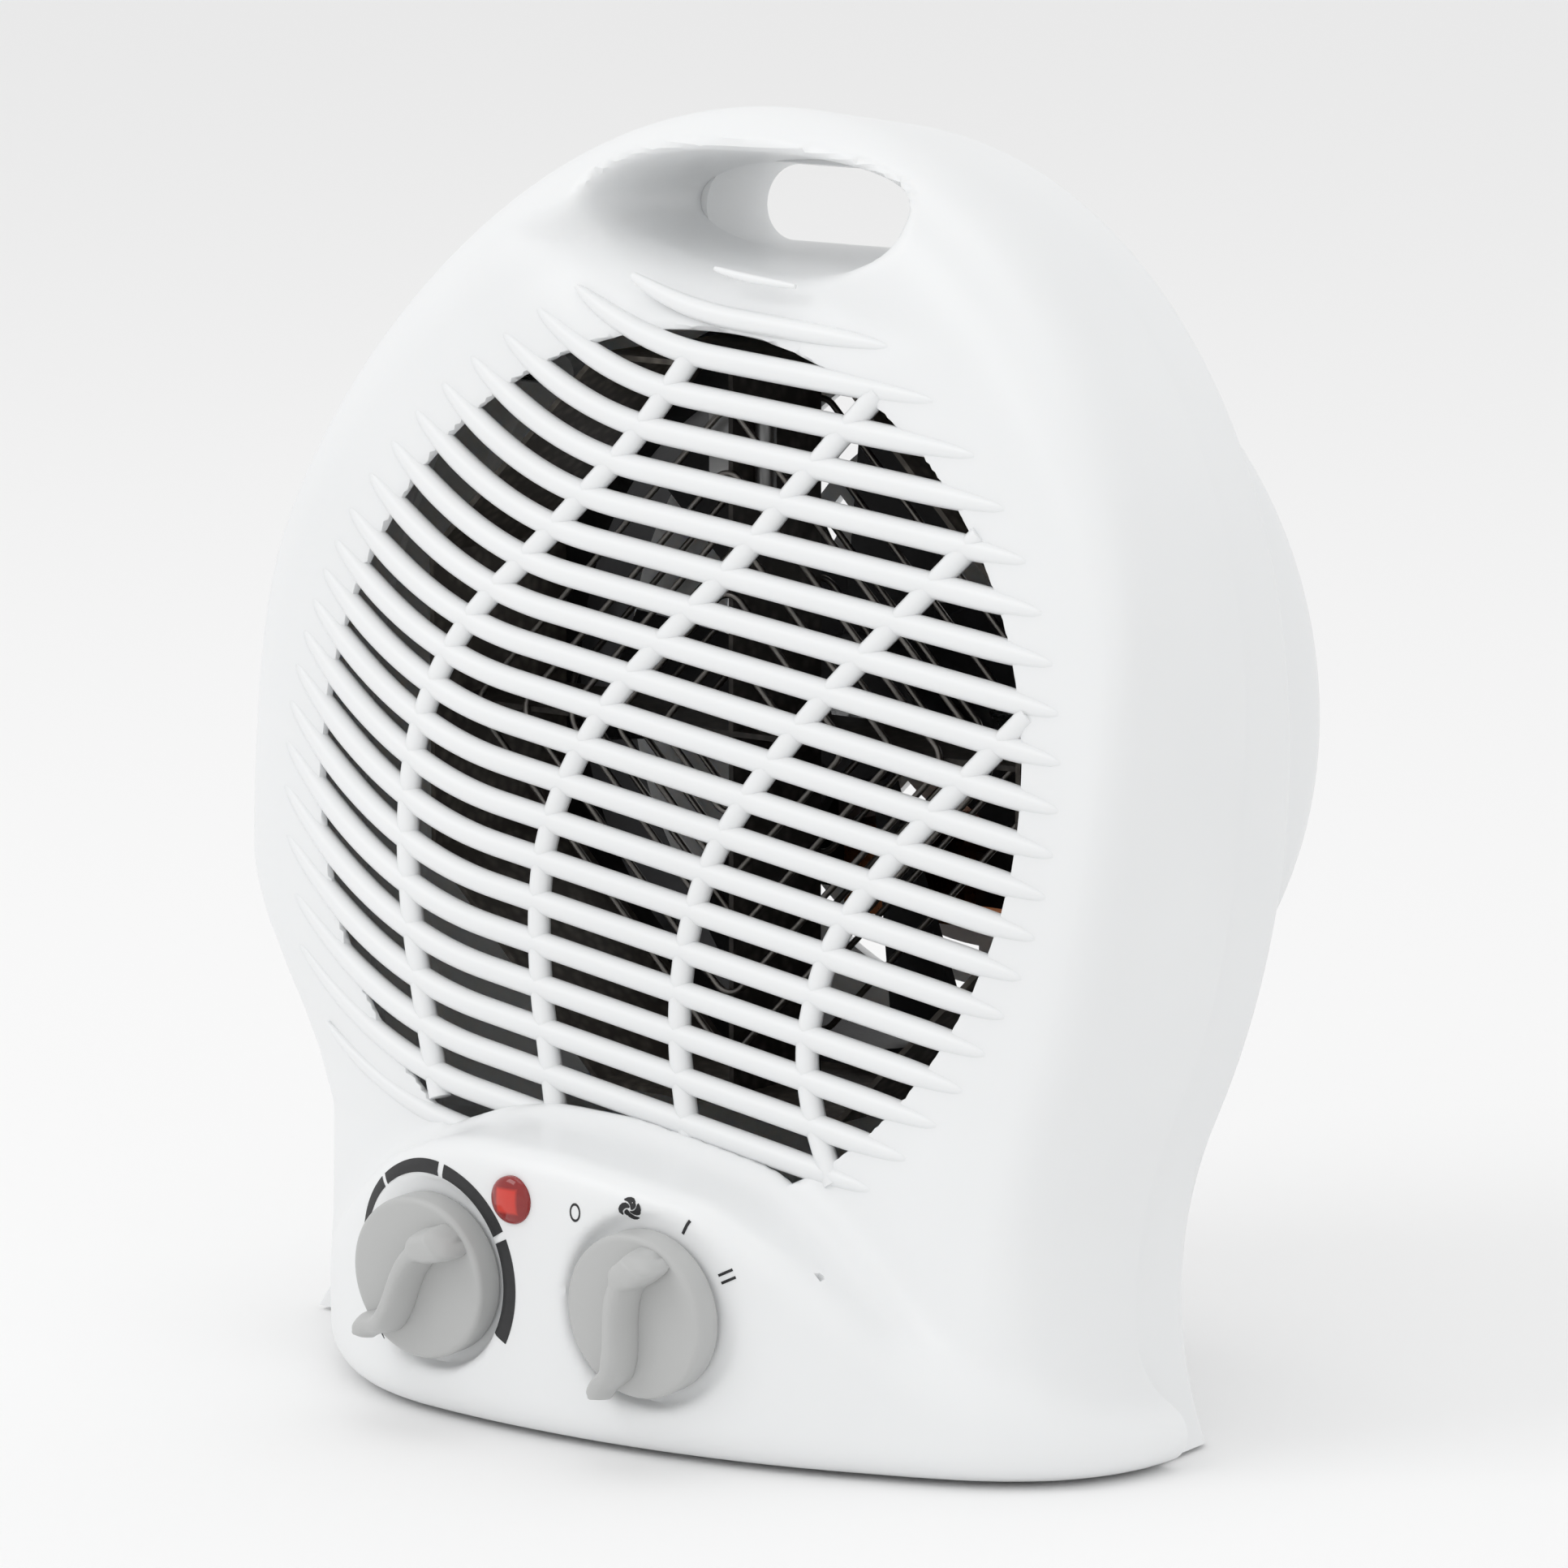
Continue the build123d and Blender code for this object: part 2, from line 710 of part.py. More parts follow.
with BuildPart() as thermal_cutout:
    with BuildSketch(Plane.XY.offset(cutout_z)):
        with Locations((-board_thickness / 2, cutout_y)):
            Rectangle(cutout_size[0], cutout_size[1], align=(Align.MAX, Align.CENTER))
    extrude(amount=cutout_size[2] / 2, both=True)
    chamfer(thermal_cutout.edges().filter_by(Axis.Y), 0.6)
finish("thermal_cutout", thermal_cutout)

with BuildPart() as thermal_fuse:
    with BuildSketch(Plane.XY.offset(fuse_z)):
        with Locations((board_thickness / 2 + fuse_radius, cutout_y)):
            Circle(fuse_radius)
    extrude(amount=fuse_length / 2, both=True)
finish("thermal_fuse", thermal_fuse)


# Fan and motor

with BuildPart() as fan_shroud:
    with BuildSketch(along_y(shroud_front_y)):
        Circle(drum_radius - wall)
        Circle(shroud_bore, mode=Mode.SUBTRACT)
    extrude(amount=shroud_wall)
    with BuildSketch(along_y(shroud_front_y)):
        Circle(shroud_bore + shroud_wall)
        Circle(shroud_bore, mode=Mode.SUBTRACT)
    extrude(amount=shroud_back_y - shroud_front_y)
finish("fan_shroud", fan_shroud)

fan_middle_y = (impeller_front_y + impeller_back_y) / 2

with BuildPart(mode=Mode.PRIVATE) as blade:
    for radius, chord, pitch in (
        (hub_radius - 2, blade_root_chord, blade_root_pitch),
        (impeller_radius + 2, blade_tip_chord, blade_tip_pitch),
    ):
        with BuildSketch(Plane(origin=(radius, 0, 0), x_dir=(0, 1, 0), z_dir=(1, 0, 0))):
            Rectangle(chord, blade_thickness, rotation=pitch)
    loft()

with BuildPart(along_y(fan_middle_y)) as fan_impeller:
    with PolarLocations(0, blade_count):
        add(blade.part)
    Cylinder(impeller_radius, 3 * (impeller_back_y - impeller_front_y), mode=Mode.INTERSECT)
    Cylinder(hub_radius, impeller_back_y - impeller_front_y)
    fillet(fan_impeller.edges().filter_by(GeomType.CIRCLE).group_by(Axis.Y)[0], 1.5)
    Cylinder(shaft_radius, 3 * (impeller_back_y - impeller_front_y), mode=Mode.SUBTRACT)
finish("fan_impeller", fan_impeller)

with BuildPart() as impeller_clip:
    with BuildSketch(along_y(impeller_front_y - clip_thickness)):
        Circle(clip_radius)
        Circle(shaft_radius, mode=Mode.SUBTRACT)
    extrude(amount=clip_thickness)
finish("impeller_clip", impeller_clip)

with BuildPart() as motor_shaft:
    with BuildSketch(along_y(shaft_front_y)):
        Circle(shaft_radius)
    extrude(amount=shaft_back_y - shaft_front_y)
    chamfer(motor_shaft.edges().filter_by(GeomType.CIRCLE), 0.4)
finish("motor_shaft", motor_shaft)

with BuildPart() as motor_rotor:
    with BuildSketch(along_y(stator_front_y + rotor_end_gap)):
        Circle(rotor_radius)
        Circle(shaft_radius, mode=Mode.SUBTRACT)
    extrude(amount=stator_back_y - stator_front_y - 2 * rotor_end_gap)
finish("motor_rotor", motor_rotor)

with BuildPart() as motor_stator:
    with BuildSketch(along_y(stator_front_y)):
        with Locations((0, (stator_top + stator_bottom) / 2)):
            Rectangle(stator_width, stator_top - stator_bottom)
        with Locations((0, (window_top + window_bottom) / 2)):
            Rectangle(window_width, window_top - window_bottom, mode=Mode.SUBTRACT)
        Circle(rotor_radius + rotor_gap, mode=Mode.SUBTRACT)
        with Locations((-motor_screw_x, 0), (motor_screw_x, 0)):
            Circle(motor_screw_radius + screw_clearance, mode=Mode.SUBTRACT)
    extrude(amount=stator_back_y - stator_front_y)
finish("motor_stator", motor_stator)

with BuildPart() as motor_coil:
    leg_middle = (window_bottom + stator_bottom) / 2
    leg_height = window_bottom - stator_bottom
    with BuildSketch(along_y(stator_front_y - coil_swell, 0, axis_z + leg_middle)):
        RectangleRounded(coil_width, leg_height + 2 * coil_swell, 1.5)
    extrude(amount=stator_back_y - stator_front_y + 2 * coil_swell)
    with BuildSketch(along_y(stator_front_y, 0, axis_z + leg_middle)):
        Rectangle(2 * coil_width, leg_height)
    extrude(amount=stator_back_y - stator_front_y, mode=Mode.SUBTRACT)
finish("motor_coil", motor_coil)


def make_bearing(bracket_name, bush_name, plate_y, boss_start, bush_start):
    """A strip across the stator whose round boss holds a sintered bush."""
    with BuildPart(mode=Mode.PRIVATE) as bracket:
        with BuildSketch(along_y(plate_y)):
            RectangleRounded(bracket_length, bracket_height, 4.0)
            with Locations((-motor_screw_x, 0), (motor_screw_x, 0)):
                Circle(motor_screw_radius + screw_clearance, mode=Mode.SUBTRACT)
        extrude(amount=bracket_thickness)
        with BuildSketch(along_y(boss_start)):
            Circle(bush_radius + bearing_boss_wall)
        extrude(amount=bush_length)
        with BuildSketch(along_y(bush_start)):
            Circle(bush_radius)
        extrude(amount=bush_length, mode=Mode.SUBTRACT)
    bracket.part.label = bracket_name
    export_step(bracket.part, f"parts/{bracket_name}.step")
    with BuildPart(mode=Mode.PRIVATE) as bush:
        with BuildSketch(along_y(bush_start)):
            Circle(bush_radius)
            Circle(shaft_radius + shaft_clearance, mode=Mode.SUBTRACT)
        extrude(amount=bush_length)
    bush.part.label = bush_name
    export_step(bush.part, f"parts/{bush_name}.step")


front_bush_y = stator_front_y - bush_length
make_bearing("front_bracket", "front_bush", stator_front_y - bracket_thickness, front_bush_y, front_bush_y)
make_bearing("rear_bracket", "rear_bush", stator_back_y, stator_back_y, stator_back_y)

with BuildPart() as motor_screws:
    seat_y = stator_front_y - bracket_thickness
    with BuildSketch(along_y(seat_y)):
        with Locations((-motor_screw_x, 0), (motor_screw_x, 0)):
            Circle(motor_screw_radius)
    extrude(amount=motor_screw_end_y - seat_y)
    with BuildSketch(along_y(seat_y)):
        with Locations((-motor_screw_x, 0), (motor_screw_x, 0)):
            Circle(motor_head_radius)
    extrude(amount=-motor_head_height)
finish("motor_screws", motor_screws)
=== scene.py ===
import math

import bmesh
import bpy
import numpy as np
from mathutils import Matrix, Vector


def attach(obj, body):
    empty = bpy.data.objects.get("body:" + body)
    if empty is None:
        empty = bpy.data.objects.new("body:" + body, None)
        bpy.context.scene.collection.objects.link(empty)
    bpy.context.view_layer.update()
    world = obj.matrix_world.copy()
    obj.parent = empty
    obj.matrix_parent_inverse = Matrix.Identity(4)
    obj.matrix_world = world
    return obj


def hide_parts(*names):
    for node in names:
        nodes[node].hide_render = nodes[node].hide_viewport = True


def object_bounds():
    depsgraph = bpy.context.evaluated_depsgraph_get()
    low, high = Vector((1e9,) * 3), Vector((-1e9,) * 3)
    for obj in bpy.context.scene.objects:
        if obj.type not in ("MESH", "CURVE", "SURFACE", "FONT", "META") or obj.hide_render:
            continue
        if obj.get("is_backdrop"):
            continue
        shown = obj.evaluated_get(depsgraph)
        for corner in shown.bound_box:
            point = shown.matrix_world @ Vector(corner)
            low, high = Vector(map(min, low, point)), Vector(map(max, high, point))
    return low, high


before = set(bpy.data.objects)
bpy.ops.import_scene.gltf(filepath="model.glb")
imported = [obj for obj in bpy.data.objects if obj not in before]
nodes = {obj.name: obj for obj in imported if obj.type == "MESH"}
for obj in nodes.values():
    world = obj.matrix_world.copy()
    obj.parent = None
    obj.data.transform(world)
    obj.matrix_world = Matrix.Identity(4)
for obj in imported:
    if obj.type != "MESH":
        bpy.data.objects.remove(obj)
cad_low, cad_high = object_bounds()

# Camera, floor and light. The heater is looked at from its right-hand front, a little above, with a long lens.
# It stands on a plain pale floor in a white room, with one broad soft light from the upper left and two fills.
eye = bpy.data.objects.new("eye", bpy.data.cameras.new("eye"))
bpy.context.scene.collection.objects.link(eye)
bpy.context.scene.camera = eye
aim = Vector((0.01558, -0.0105, 0.11303))
turn, rise = math.radians(37.79), math.radians(9.64)
back = Vector((math.sin(turn) * math.cos(rise), -math.cos(turn) * math.cos(rise), math.sin(rise)))
eye.location = aim + 1.4833 * back
eye.rotation_mode = "QUATERNION"
eye.rotation_quaternion = (-back).to_track_quat("-Z", "Y")
eye.data.sensor_width = 36
eye.data.lens = 190.45
eye.data.clip_start = 0.05

floor_mesh = bpy.data.meshes.new("floor")
floor_mesh.from_pydata([(-6, -6, 0), (6, -6, 0), (6, 6, 0), (-6, 6, 0)], [], [(0, 1, 2, 3)])
floor = bpy.data.objects.new("floor", floor_mesh)
bpy.context.scene.collection.objects.link(floor)
floor_paint = bpy.data.materials.new("floor_paint")
floor_paint.use_nodes = True
floor_shader = floor_paint.node_tree.nodes["Principled BSDF"]
floor_shader.inputs["Base Color"].default_value = (0.93, 0.93, 0.93, 1)
floor_shader.inputs["Roughness"].default_value = 0.9
floor_mesh.materials.append(floor_paint)
floor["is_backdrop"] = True

room = bpy.data.worlds.new("room")
bpy.context.scene.world = room
bpy.context.scene.view_settings.view_transform = "Standard"
room.use_nodes = True
room.node_tree.nodes["Background"].inputs["Color"].default_value = (1, 1, 1, 1)
room.node_tree.nodes["Background"].inputs["Strength"].default_value = 0.86
for name, place, size, power in (
    ("window", (-0.9, -1.5, 1.6), 1.2, 8),
    ("fill", (1.8, -1.0, 0.9), 1.4, 1.0),
    ("top", (0.1, 0.2, 1.9), 1.0, 3),
):
    lamp = bpy.data.lights.new(name, "AREA")
    lamp.size = size
    lamp.energy = power
    light = bpy.data.objects.new(name, lamp)
    bpy.context.scene.collection.objects.link(light)
    light.location = place
    light.rotation_euler = (Vector((0, 0, 0.12)) - Vector(place)).to_track_quat("-Z", "Y").to_euler()


# Front shell. One white polypropylene moulding: the arched head, the swelling chin for the controls,
# the scooped handle hole, the two knob dishes and the round outlet. It is worked out as a soft solid, given a wall,
# then skinned. At the left front the foot is drawn in narrower than at the right.
lean = math.radians(9)
seam_y = -8.3
face_depth = 36.5
shell_wall = 2.2


def to_row(u, v, w):
    """From across, up and out of the seam plane to the row's millimetres."""
    return u, seam_y + v * math.sin(lean) - w * math.cos(lean), v * math.cos(lean) + w * math.sin(lean)


def soft_max(a, b, k):
    h = np.clip(k - np.abs(a - b), 0, None) / k
    return np.maximum(a, b) + h * h * k / 4


def soft_min(a, b, k):
    return -soft_max(-a, -b, k)


def smooth(a, b, x):
    t = np.clip((x - a) / (b - a), 0, 1)
    return t * t * (3 - 2 * t)


def head_outline():
    """The head's ellipse and the flared foot's arc, as a closed loop of points on the seam plane."""
    start = math.asin(-50 / 122)
    t = np.linspace(start, math.pi / 2, 120)
    crown = np.c_[102 * np.cos(t), 110 + 122 * np.sin(t)]
    along = np.array([102 * math.sin(start), -122 * math.cos(start)])
    along /= np.linalg.norm(along)
    inward = np.array([-along[1], along[0]])
    chord = np.array([106.5, -12.0]) - crown[0]
    radius = chord @ chord / (2 * chord @ inward)
    centre = crown[0] + radius * inward
    first = math.atan2(*(crown[0] - centre)[::-1])
    last = math.atan2(*(np.array([106.5, -12.0]) - centre)[::-1])
    turn_by = (last - first + math.pi) % (2 * math.pi) - math.pi
    s = first + np.linspace(1, 0, 60)[:-1] * turn_by
    flare = centre + abs(radius) * np.c_[np.cos(s), np.sin(s)]
    side = np.vstack([flare, crown])
    return np.vstack([side, side[::-1][1:] * [-1, 1]])


outline = head_outline()
cell = 0.5
table_low = np.array([-112.0, -22.0])
table_u, table_v = np.meshgrid(np.arange(-112, 112.1, cell), np.arange(-22, 242.1, cell), indexing="ij")


def outline_table():
    """Signed distance to the head's outline on a fine grid, negative inside."""
    p = np.c_[table_u.ravel(), table_v.ravel()]
    a = outline
    b = np.roll(outline, -1, axis=0)
    best = np.full(len(p), 1e9)
    inside = np.zeros(len(p), bool)
    for (ax, ay), (bx, by) in zip(a, b):
        ex, ey = bx - ax, by - ay
        t = np.clip(((p[:, 0] - ax) * ex + (p[:, 1] - ay) * ey) / (ex * ex + ey * ey), 0, 1)
        best = np.minimum(best, (p[:, 0] - ax - t * ex) ** 2 + (p[:, 1] - ay - t * ey) ** 2)
        if ey:
            cross = (ay > p[:, 1]) != (by > p[:, 1])
            inside ^= cross & (p[:, 0] < ax + (p[:, 1] - ay) * ex / ey)
    return (np.sqrt(best) * np.where(inside, -1, 1)).reshape(table_u.shape)


outline_distance = outline_table()


def from_outline(u, v):
    i = np.clip((u - table_low[0]) / cell, 0, outline_distance.shape[0] - 1.001)
    j = np.clip((v - table_low[1]) / cell, 0, outline_distance.shape[1] - 1.001)
    a, b = i.astype(int), j.astype(int)
    i, j = i - a, j - b
    d = outline_distance
    return (d[a, b] * (1 - i) + d[a + 1, b] * i) * (1 - j) + (d[a, b + 1] * (1 - i) + d[a + 1, b + 1] * i) * j


knob_seats = {"thermostat": Vector((-24.7, -62.2, 27.0)), "selector": Vector((24.7, -62.2, 27.0))}
tilt = math.radians(-3.5)
knob_out = Vector((0, -math.cos(tilt), math.sin(tilt)))
knob_up = knob_out.cross(Vector((1, 0, 0)))


chin_across = np.arange(-130.0, 130.1, 1.0)
chin_points = np.array(
    [
        (-130, 26), (-75, 30), (-58, 35), (-45, 42), (-38, 46.5), (-26, 51), (-15, 52.8), (4, 52.2), (19, 50),
        (35, 47.2), (48, 40), (59, 31.5), (68, 23.5), (82, 15), (94, 11), (130, 6),
    ]
)
chin_profile = np.interp(chin_across, *chin_points.T)
chin_profile[5:-5] = np.convolve(chin_profile, np.hanning(13)[1:-1] / np.hanning(13).sum(), "valid")


def chin_height(x):
    """Height over the floor of the chin's top, which arches at the left and runs out low at the right."""
    return np.interp(x, chin_across, chin_profile)


# How far out the left flank may reach, towards the left front corner, at each height
flank_points = np.array(
    [(-10, 75), (5, 77), (46, 77.5), (56, 81), (64, 85), (75, 92), (85, 100), (101, 115), (240, 160)]
)


def handle_hole(x, y, z):
    """Distance from the handle's tapering oval."""
    t = (y + 30) / 80
    half = (25.5 - 11.5 * t) / 2
    p, q = np.abs(x - 4) / 35.5, np.abs(z - 203 - t - half) / half
    ring = (p**2.3 + q**2.3 + 1e-6) ** (1 / 2.3)
    steep = ring**-1.3 * np.hypot(p**1.3 / 35.5, q**1.3 / half)
    return (ring - 1) / np.maximum(steep, 0.02)


def front_form(u, v, w):
    """The front shell's outer form: distance in millimetres, negative inside."""
    x, y, z = to_row(u, v, w)
    body = soft_max(from_outline(u, v) + 0 * w, w - face_depth, 9 + 12 * smooth(140, 225, v))
    forward = np.minimum(y + 10.7, 0)
    plan = np.sqrt((x / 103) ** 2 + (forward / 52.5) ** 2) + 1e-6
    plan = (plan - 1) * plan / np.sqrt((x / 103**2) ** 2 + (forward / 52.5**2) ** 2 + 1e-9)
    body = soft_max(body, plan, 6)
    brow = (z - chin_height(x)) * 0.92
    chin = soft_max(plan, brow, 6)
    form = soft_min(body, chin, 9)
    form = soft_max(form, -0.79 * x - 0.613 * y - np.interp(z, *flank_points.T) - 1, 16)
    form = soft_max(form, 0.8 - z, 7)
    low_left = smooth(0.2, 1.0, -0.35 * (x - 4) / 34 - 0.9 * (z - 214) / 12)
    scoop = 3 + 15 * low_left * smooth(5, 25, w)
    form = soft_max(form, -handle_hole(x, y, z), scoop)
    for seat in knob_seats.values():
        dx, dy, dz = x - seat.x, y - seat.y, z - seat.z
        out = dy * knob_out.y + dz * knob_out.z
        flat = np.hypot(dx, dy * knob_up.y + dz * knob_up.z)
        form = soft_max(form, -soft_max(flat - 17.2, -out - 3, 2), 2)
    return form


def outlet_hole(u, v, w):
    """The round outlet, cut off above the chin."""
    chin_line = (chin_height(u) + 2.5 - face_depth * math.sin(lean)) / math.cos(lean)
    round_part = np.hypot(u, v - 111.5) - 79
    return np.maximum(np.maximum(round_part, (chin_line - v) * 0.9), 20 - w)


def front_wall(u, v, w):
    form = front_form(u, v, w)
    wall = np.maximum(form, -form - shell_wall)
    wall = soft_max(wall, -outlet_hole(u, v, w), 1.2)
    return np.maximum(wall, -w)


def skin(field, low, high, step, settle=4):
    """A mesh of quads on the zero level of a field, each corner drawn on to the surface."""
    axes = [np.arange(low[a], high[a] + step, step) for a in range(3)]
    values = field(*np.meshgrid(*axes, indexing="ij")).astype(np.float32)
    solid = values < 0
    n = solid[:-1, :-1, :-1].astype(np.int8) * 0
    corners = [(i, j, k) for i in (0, 1) for j in (0, 1) for k in (0, 1)]
    size = [len(a) - 1 for a in axes]
    for i, j, k in corners:
        n += solid[i : i + size[0], j : j + size[1], k : k + size[2]]
    busy = np.argwhere((n > 0) & (n < 8))
    number = np.full(size, -1, np.int64)
    number[tuple(busy.T)] = np.arange(len(busy))
    total = np.zeros((len(busy), 3))
    count = np.zeros(len(busy))
    at = [values[tuple((busy + c).T)] for c in corners]
    for a in range(8):
        for b in range(a + 1, 8):
            if sum(abs(p - q) for p, q in zip(corners[a], corners[b])) != 1:
                continue
            cut = (at[a] < 0) != (at[b] < 0)
            t = np.where(cut, at[a] / np.where(cut, at[a] - at[b], 1), 0)[:, None]
            total += np.where(cut[:, None], np.array(corners[a]) + t * (np.array(corners[b]) - corners[a]), 0)
            count += cut
    points = np.array([axes[a][0] for a in range(3)]) + step * (busy + total / count[:, None])
    quads = []
    for axis in range(3):
        one, two = [a for a in range(3) if a != axis]
        if axis == 1:
            one, two = two, one
        lower = np.moveaxis(solid, axis, 0)[:-1]
        upper = np.moveaxis(solid, axis, 0)[1:]
        for rising in (True, False):
            crossing = np.argwhere((lower & ~upper) if rising else (~lower & upper))
            place = np.zeros((len(crossing), 3), int)
            rest = [a for a in range(3) if a != axis]
            place[:, axis] = crossing[:, 0]
            place[:, rest[0]] = crossing[:, 1]
            place[:, rest[1]] = crossing[:, 2]
            keep = np.all((place >= 1) & (place < np.array(size)), axis=1) | (
                (place[:, axis] == 0) & np.all((place[:, rest] >= 1) & (place[:, rest] < np.array(size)[rest]), axis=1)
            )
            place = place[keep]
            ring = []
            for da, db in ((1, 1), (0, 1), (0, 0), (1, 0)):
                spot = place.copy()
                spot[:, one] -= da
                spot[:, two] -= db
                ring.append(number[tuple(spot.T)])
            ring = np.stack(ring, axis=1)
            quads.append(ring if rising else ring[:, ::-1])
    quads = np.vstack(quads)
    rest_points = points.copy()
    for _ in range(settle):
        f = field(*points.T)
        slope = np.stack([field(*(points + d).T) - f for d in np.eye(3) * 0.02], axis=1) / 0.02
        move = f[:, None] * slope / np.maximum((slope**2).sum(1), 0.3)[:, None]
        points = points - np.clip(move, -0.4 * step, 0.4 * step)
    points = rest_points + np.clip(points - rest_points, -0.9 * step, 0.9 * step)
    return points, quads


def mesh_piece(name, points, faces, material, crease=40):
    """A smooth-shaded mesh object from points in the row's metres."""
    mesh = bpy.data.meshes.new(name)
    mesh.from_pydata([tuple(p) for p in points], [], [tuple(int(i) for i in f) for f in faces])
    mesh.validate()
    mesh.polygons.foreach_set("use_smooth", [True] * len(mesh.polygons))
    mesh.set_sharp_from_angle(angle=math.radians(crease))
    mesh.materials.append(material)
    piece = bpy.data.objects.new(name, mesh)
    bpy.context.scene.collection.objects.link(piece)
    return piece


def moulded_plastic(name, colour, roughness, grain=0.02, depth=0.25, glow=0.0, coat=0.0):
    """Injection-moulded plastic: even colour with faint flow marks and a fine spark-eroded grain."""
    material = bpy.data.materials.new(name)
    material.use_nodes = True
    tree = material.node_tree
    shader = tree.nodes["Principled BSDF"]
    shader.inputs["Subsurface Weight"].default_value = glow
    shader.inputs["Subsurface Radius"].default_value = (0.004, 0.0037, 0.0034)
    shader.inputs["Subsurface Scale"].default_value = 0.6
    shader.inputs["Coat Weight"].default_value = coat
    place = tree.nodes.new("ShaderNodeTexCoord")
    flow = tree.nodes.new("ShaderNodeTexNoise")
    flow.inputs["Scale"].default_value = 14
    flow.inputs["Detail"].default_value = 3
    tree.links.new(place.outputs["Object"], flow.inputs["Vector"])
    tint = tree.nodes.new("ShaderNodeValToRGB")
    tint.color_ramp.elements[0].color = (*[c * 0.965 for c in colour], 1)
    tint.color_ramp.elements[1].color = (*colour, 1)
    tint.color_ramp.elements[0].position = 0.3
    tint.color_ramp.elements[1].position = 0.7
    tree.links.new(flow.outputs["Fac"], tint.inputs["Fac"])
    tree.links.new(tint.outputs["Color"], shader.inputs["Base Color"])
    fine = tree.nodes.new("ShaderNodeTexNoise")
    fine.inputs["Scale"].default_value = 1400
    fine.inputs["Detail"].default_value = 2
    tree.links.new(place.outputs["Object"], fine.inputs["Vector"])
    polish = tree.nodes.new("ShaderNodeMapRange")
    polish.inputs["To Min"].default_value = roughness - 0.05
    polish.inputs["To Max"].default_value = roughness + 0.07
    tree.links.new(fine.outputs["Fac"], polish.inputs["Value"])
    tree.links.new(polish.outputs["Result"], shader.inputs["Roughness"])
    bump = tree.nodes.new("ShaderNodeBump")
    bump.inputs["Strength"].default_value = depth
    bump.inputs["Distance"].default_value = grain / 1000
    tree.links.new(fine.outputs["Fac"], bump.inputs["Height"])
    tree.links.new(bump.outputs["Normal"], shader.inputs["Normal"])
    return material


white_plastic = moulded_plastic("white_plastic", (0.86, 0.87, 0.875), 0.36, glow=0.12)
step = 1.35
shell_points, shell_quads = skin(front_wall, (-104, -16, -step / 2), (104, 237, 68), step)
rim = shell_points[:, 2] < step * 0.45
flat_points = shell_points[rim]
flat_points[:, 2] = 0
for _ in range(3):
    form = front_form(*flat_points.T)
    target = np.where(form > -shell_wall / 2, 0, -shell_wall)
    near = np.abs(form - target) < step * 0.8
    slope = np.stack([front_form(*(flat_points + d).T) - form for d in np.eye(3)[:2] * 0.02], axis=1) / 0.02
    move = (form - target)[:, None] * slope / np.maximum((slope**2).sum(1), 0.3)[:, None]
    flat_points[:, :2] -= np.where(near[:, None], np.clip(move, -1, 1), 0)
shell_points[rim] = flat_points
shell_points[:, 2] += np.where(rim, 0.06, 0)
front_shell = mesh_piece(
    "front_case", np.stack(to_row(*shell_points.T), axis=1) / 1000, shell_quads, white_plastic
)
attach(front_shell, "case")
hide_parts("front_shell")
print("front_case quads", len(shell_quads))




# Outlet grille. Curved slats moulded in one with the front shell: round-backed ribs that start as a point on the face,
# cross the outlet and run out to a point again, with four upright bars behind them.
seam_to_row = Matrix(
    (
        (1, 0, 0, 0),
        (0, math.sin(lean), -math.cos(lean), seam_y / 1000),
        (0, math.cos(lean), math.sin(lean), 0),
        (0, 0, 0, 1),
    )
)


def field_tree(name, inputs):
    """A geometry tree with named size inputs. Returns it, its group input and its output."""
    tree = bpy.data.node_groups.new(name, "GeometryNodeTree")
    for label, kind in inputs:
        tree.interface.new_socket(label, in_out="INPUT", socket_type=kind)
    tree.interface.new_socket("Geometry", in_out="OUTPUT", socket_type="NodeSocketGeometry")
    return tree, tree.nodes.new("NodeGroupInput"), tree.nodes.new("NodeGroupOutput")


def sum_of(tree, operation, a, b=None, c=None):
    """One Math node, fed by sockets or by plain numbers."""
    node = tree.nodes.new("ShaderNodeMath")
    node.operation = operation
    for i, value in enumerate((a, b, c)):
        if value is None:
            continue
        if isinstance(value, (int, float)):
            node.inputs[i].default_value = value
        else:
            tree.links.new(value, node.inputs[i])
    return node.outputs[0]


def grown(name, tree, values, place):
    """Run a geometry tree on an empty mesh and keep the result as a plain mesh object."""
    maker = bpy.data.objects.new(name + "_maker", bpy.data.meshes.new(name + "_maker"))
    bpy.context.scene.collection.objects.link(maker)
    modifier = maker.modifiers.new("grow", "NODES")
    modifier.node_group = tree
    for socket in tree.interface.items_tree:
        if socket.in_out == "INPUT" and socket.name in values:
            modifier[socket.identifier] = values[socket.name]
    ready = maker.evaluated_get(bpy.context.evaluated_depsgraph_get())
    mesh = bpy.data.meshes.new_from_object(ready)
    maker.modifiers.remove(modifier)
    bpy.data.objects.remove(maker)
    mesh.transform(place)
    mesh.name = name
    piece = bpy.data.objects.new(name, mesh)
    bpy.context.scene.collection.objects.link(piece)
    return piece


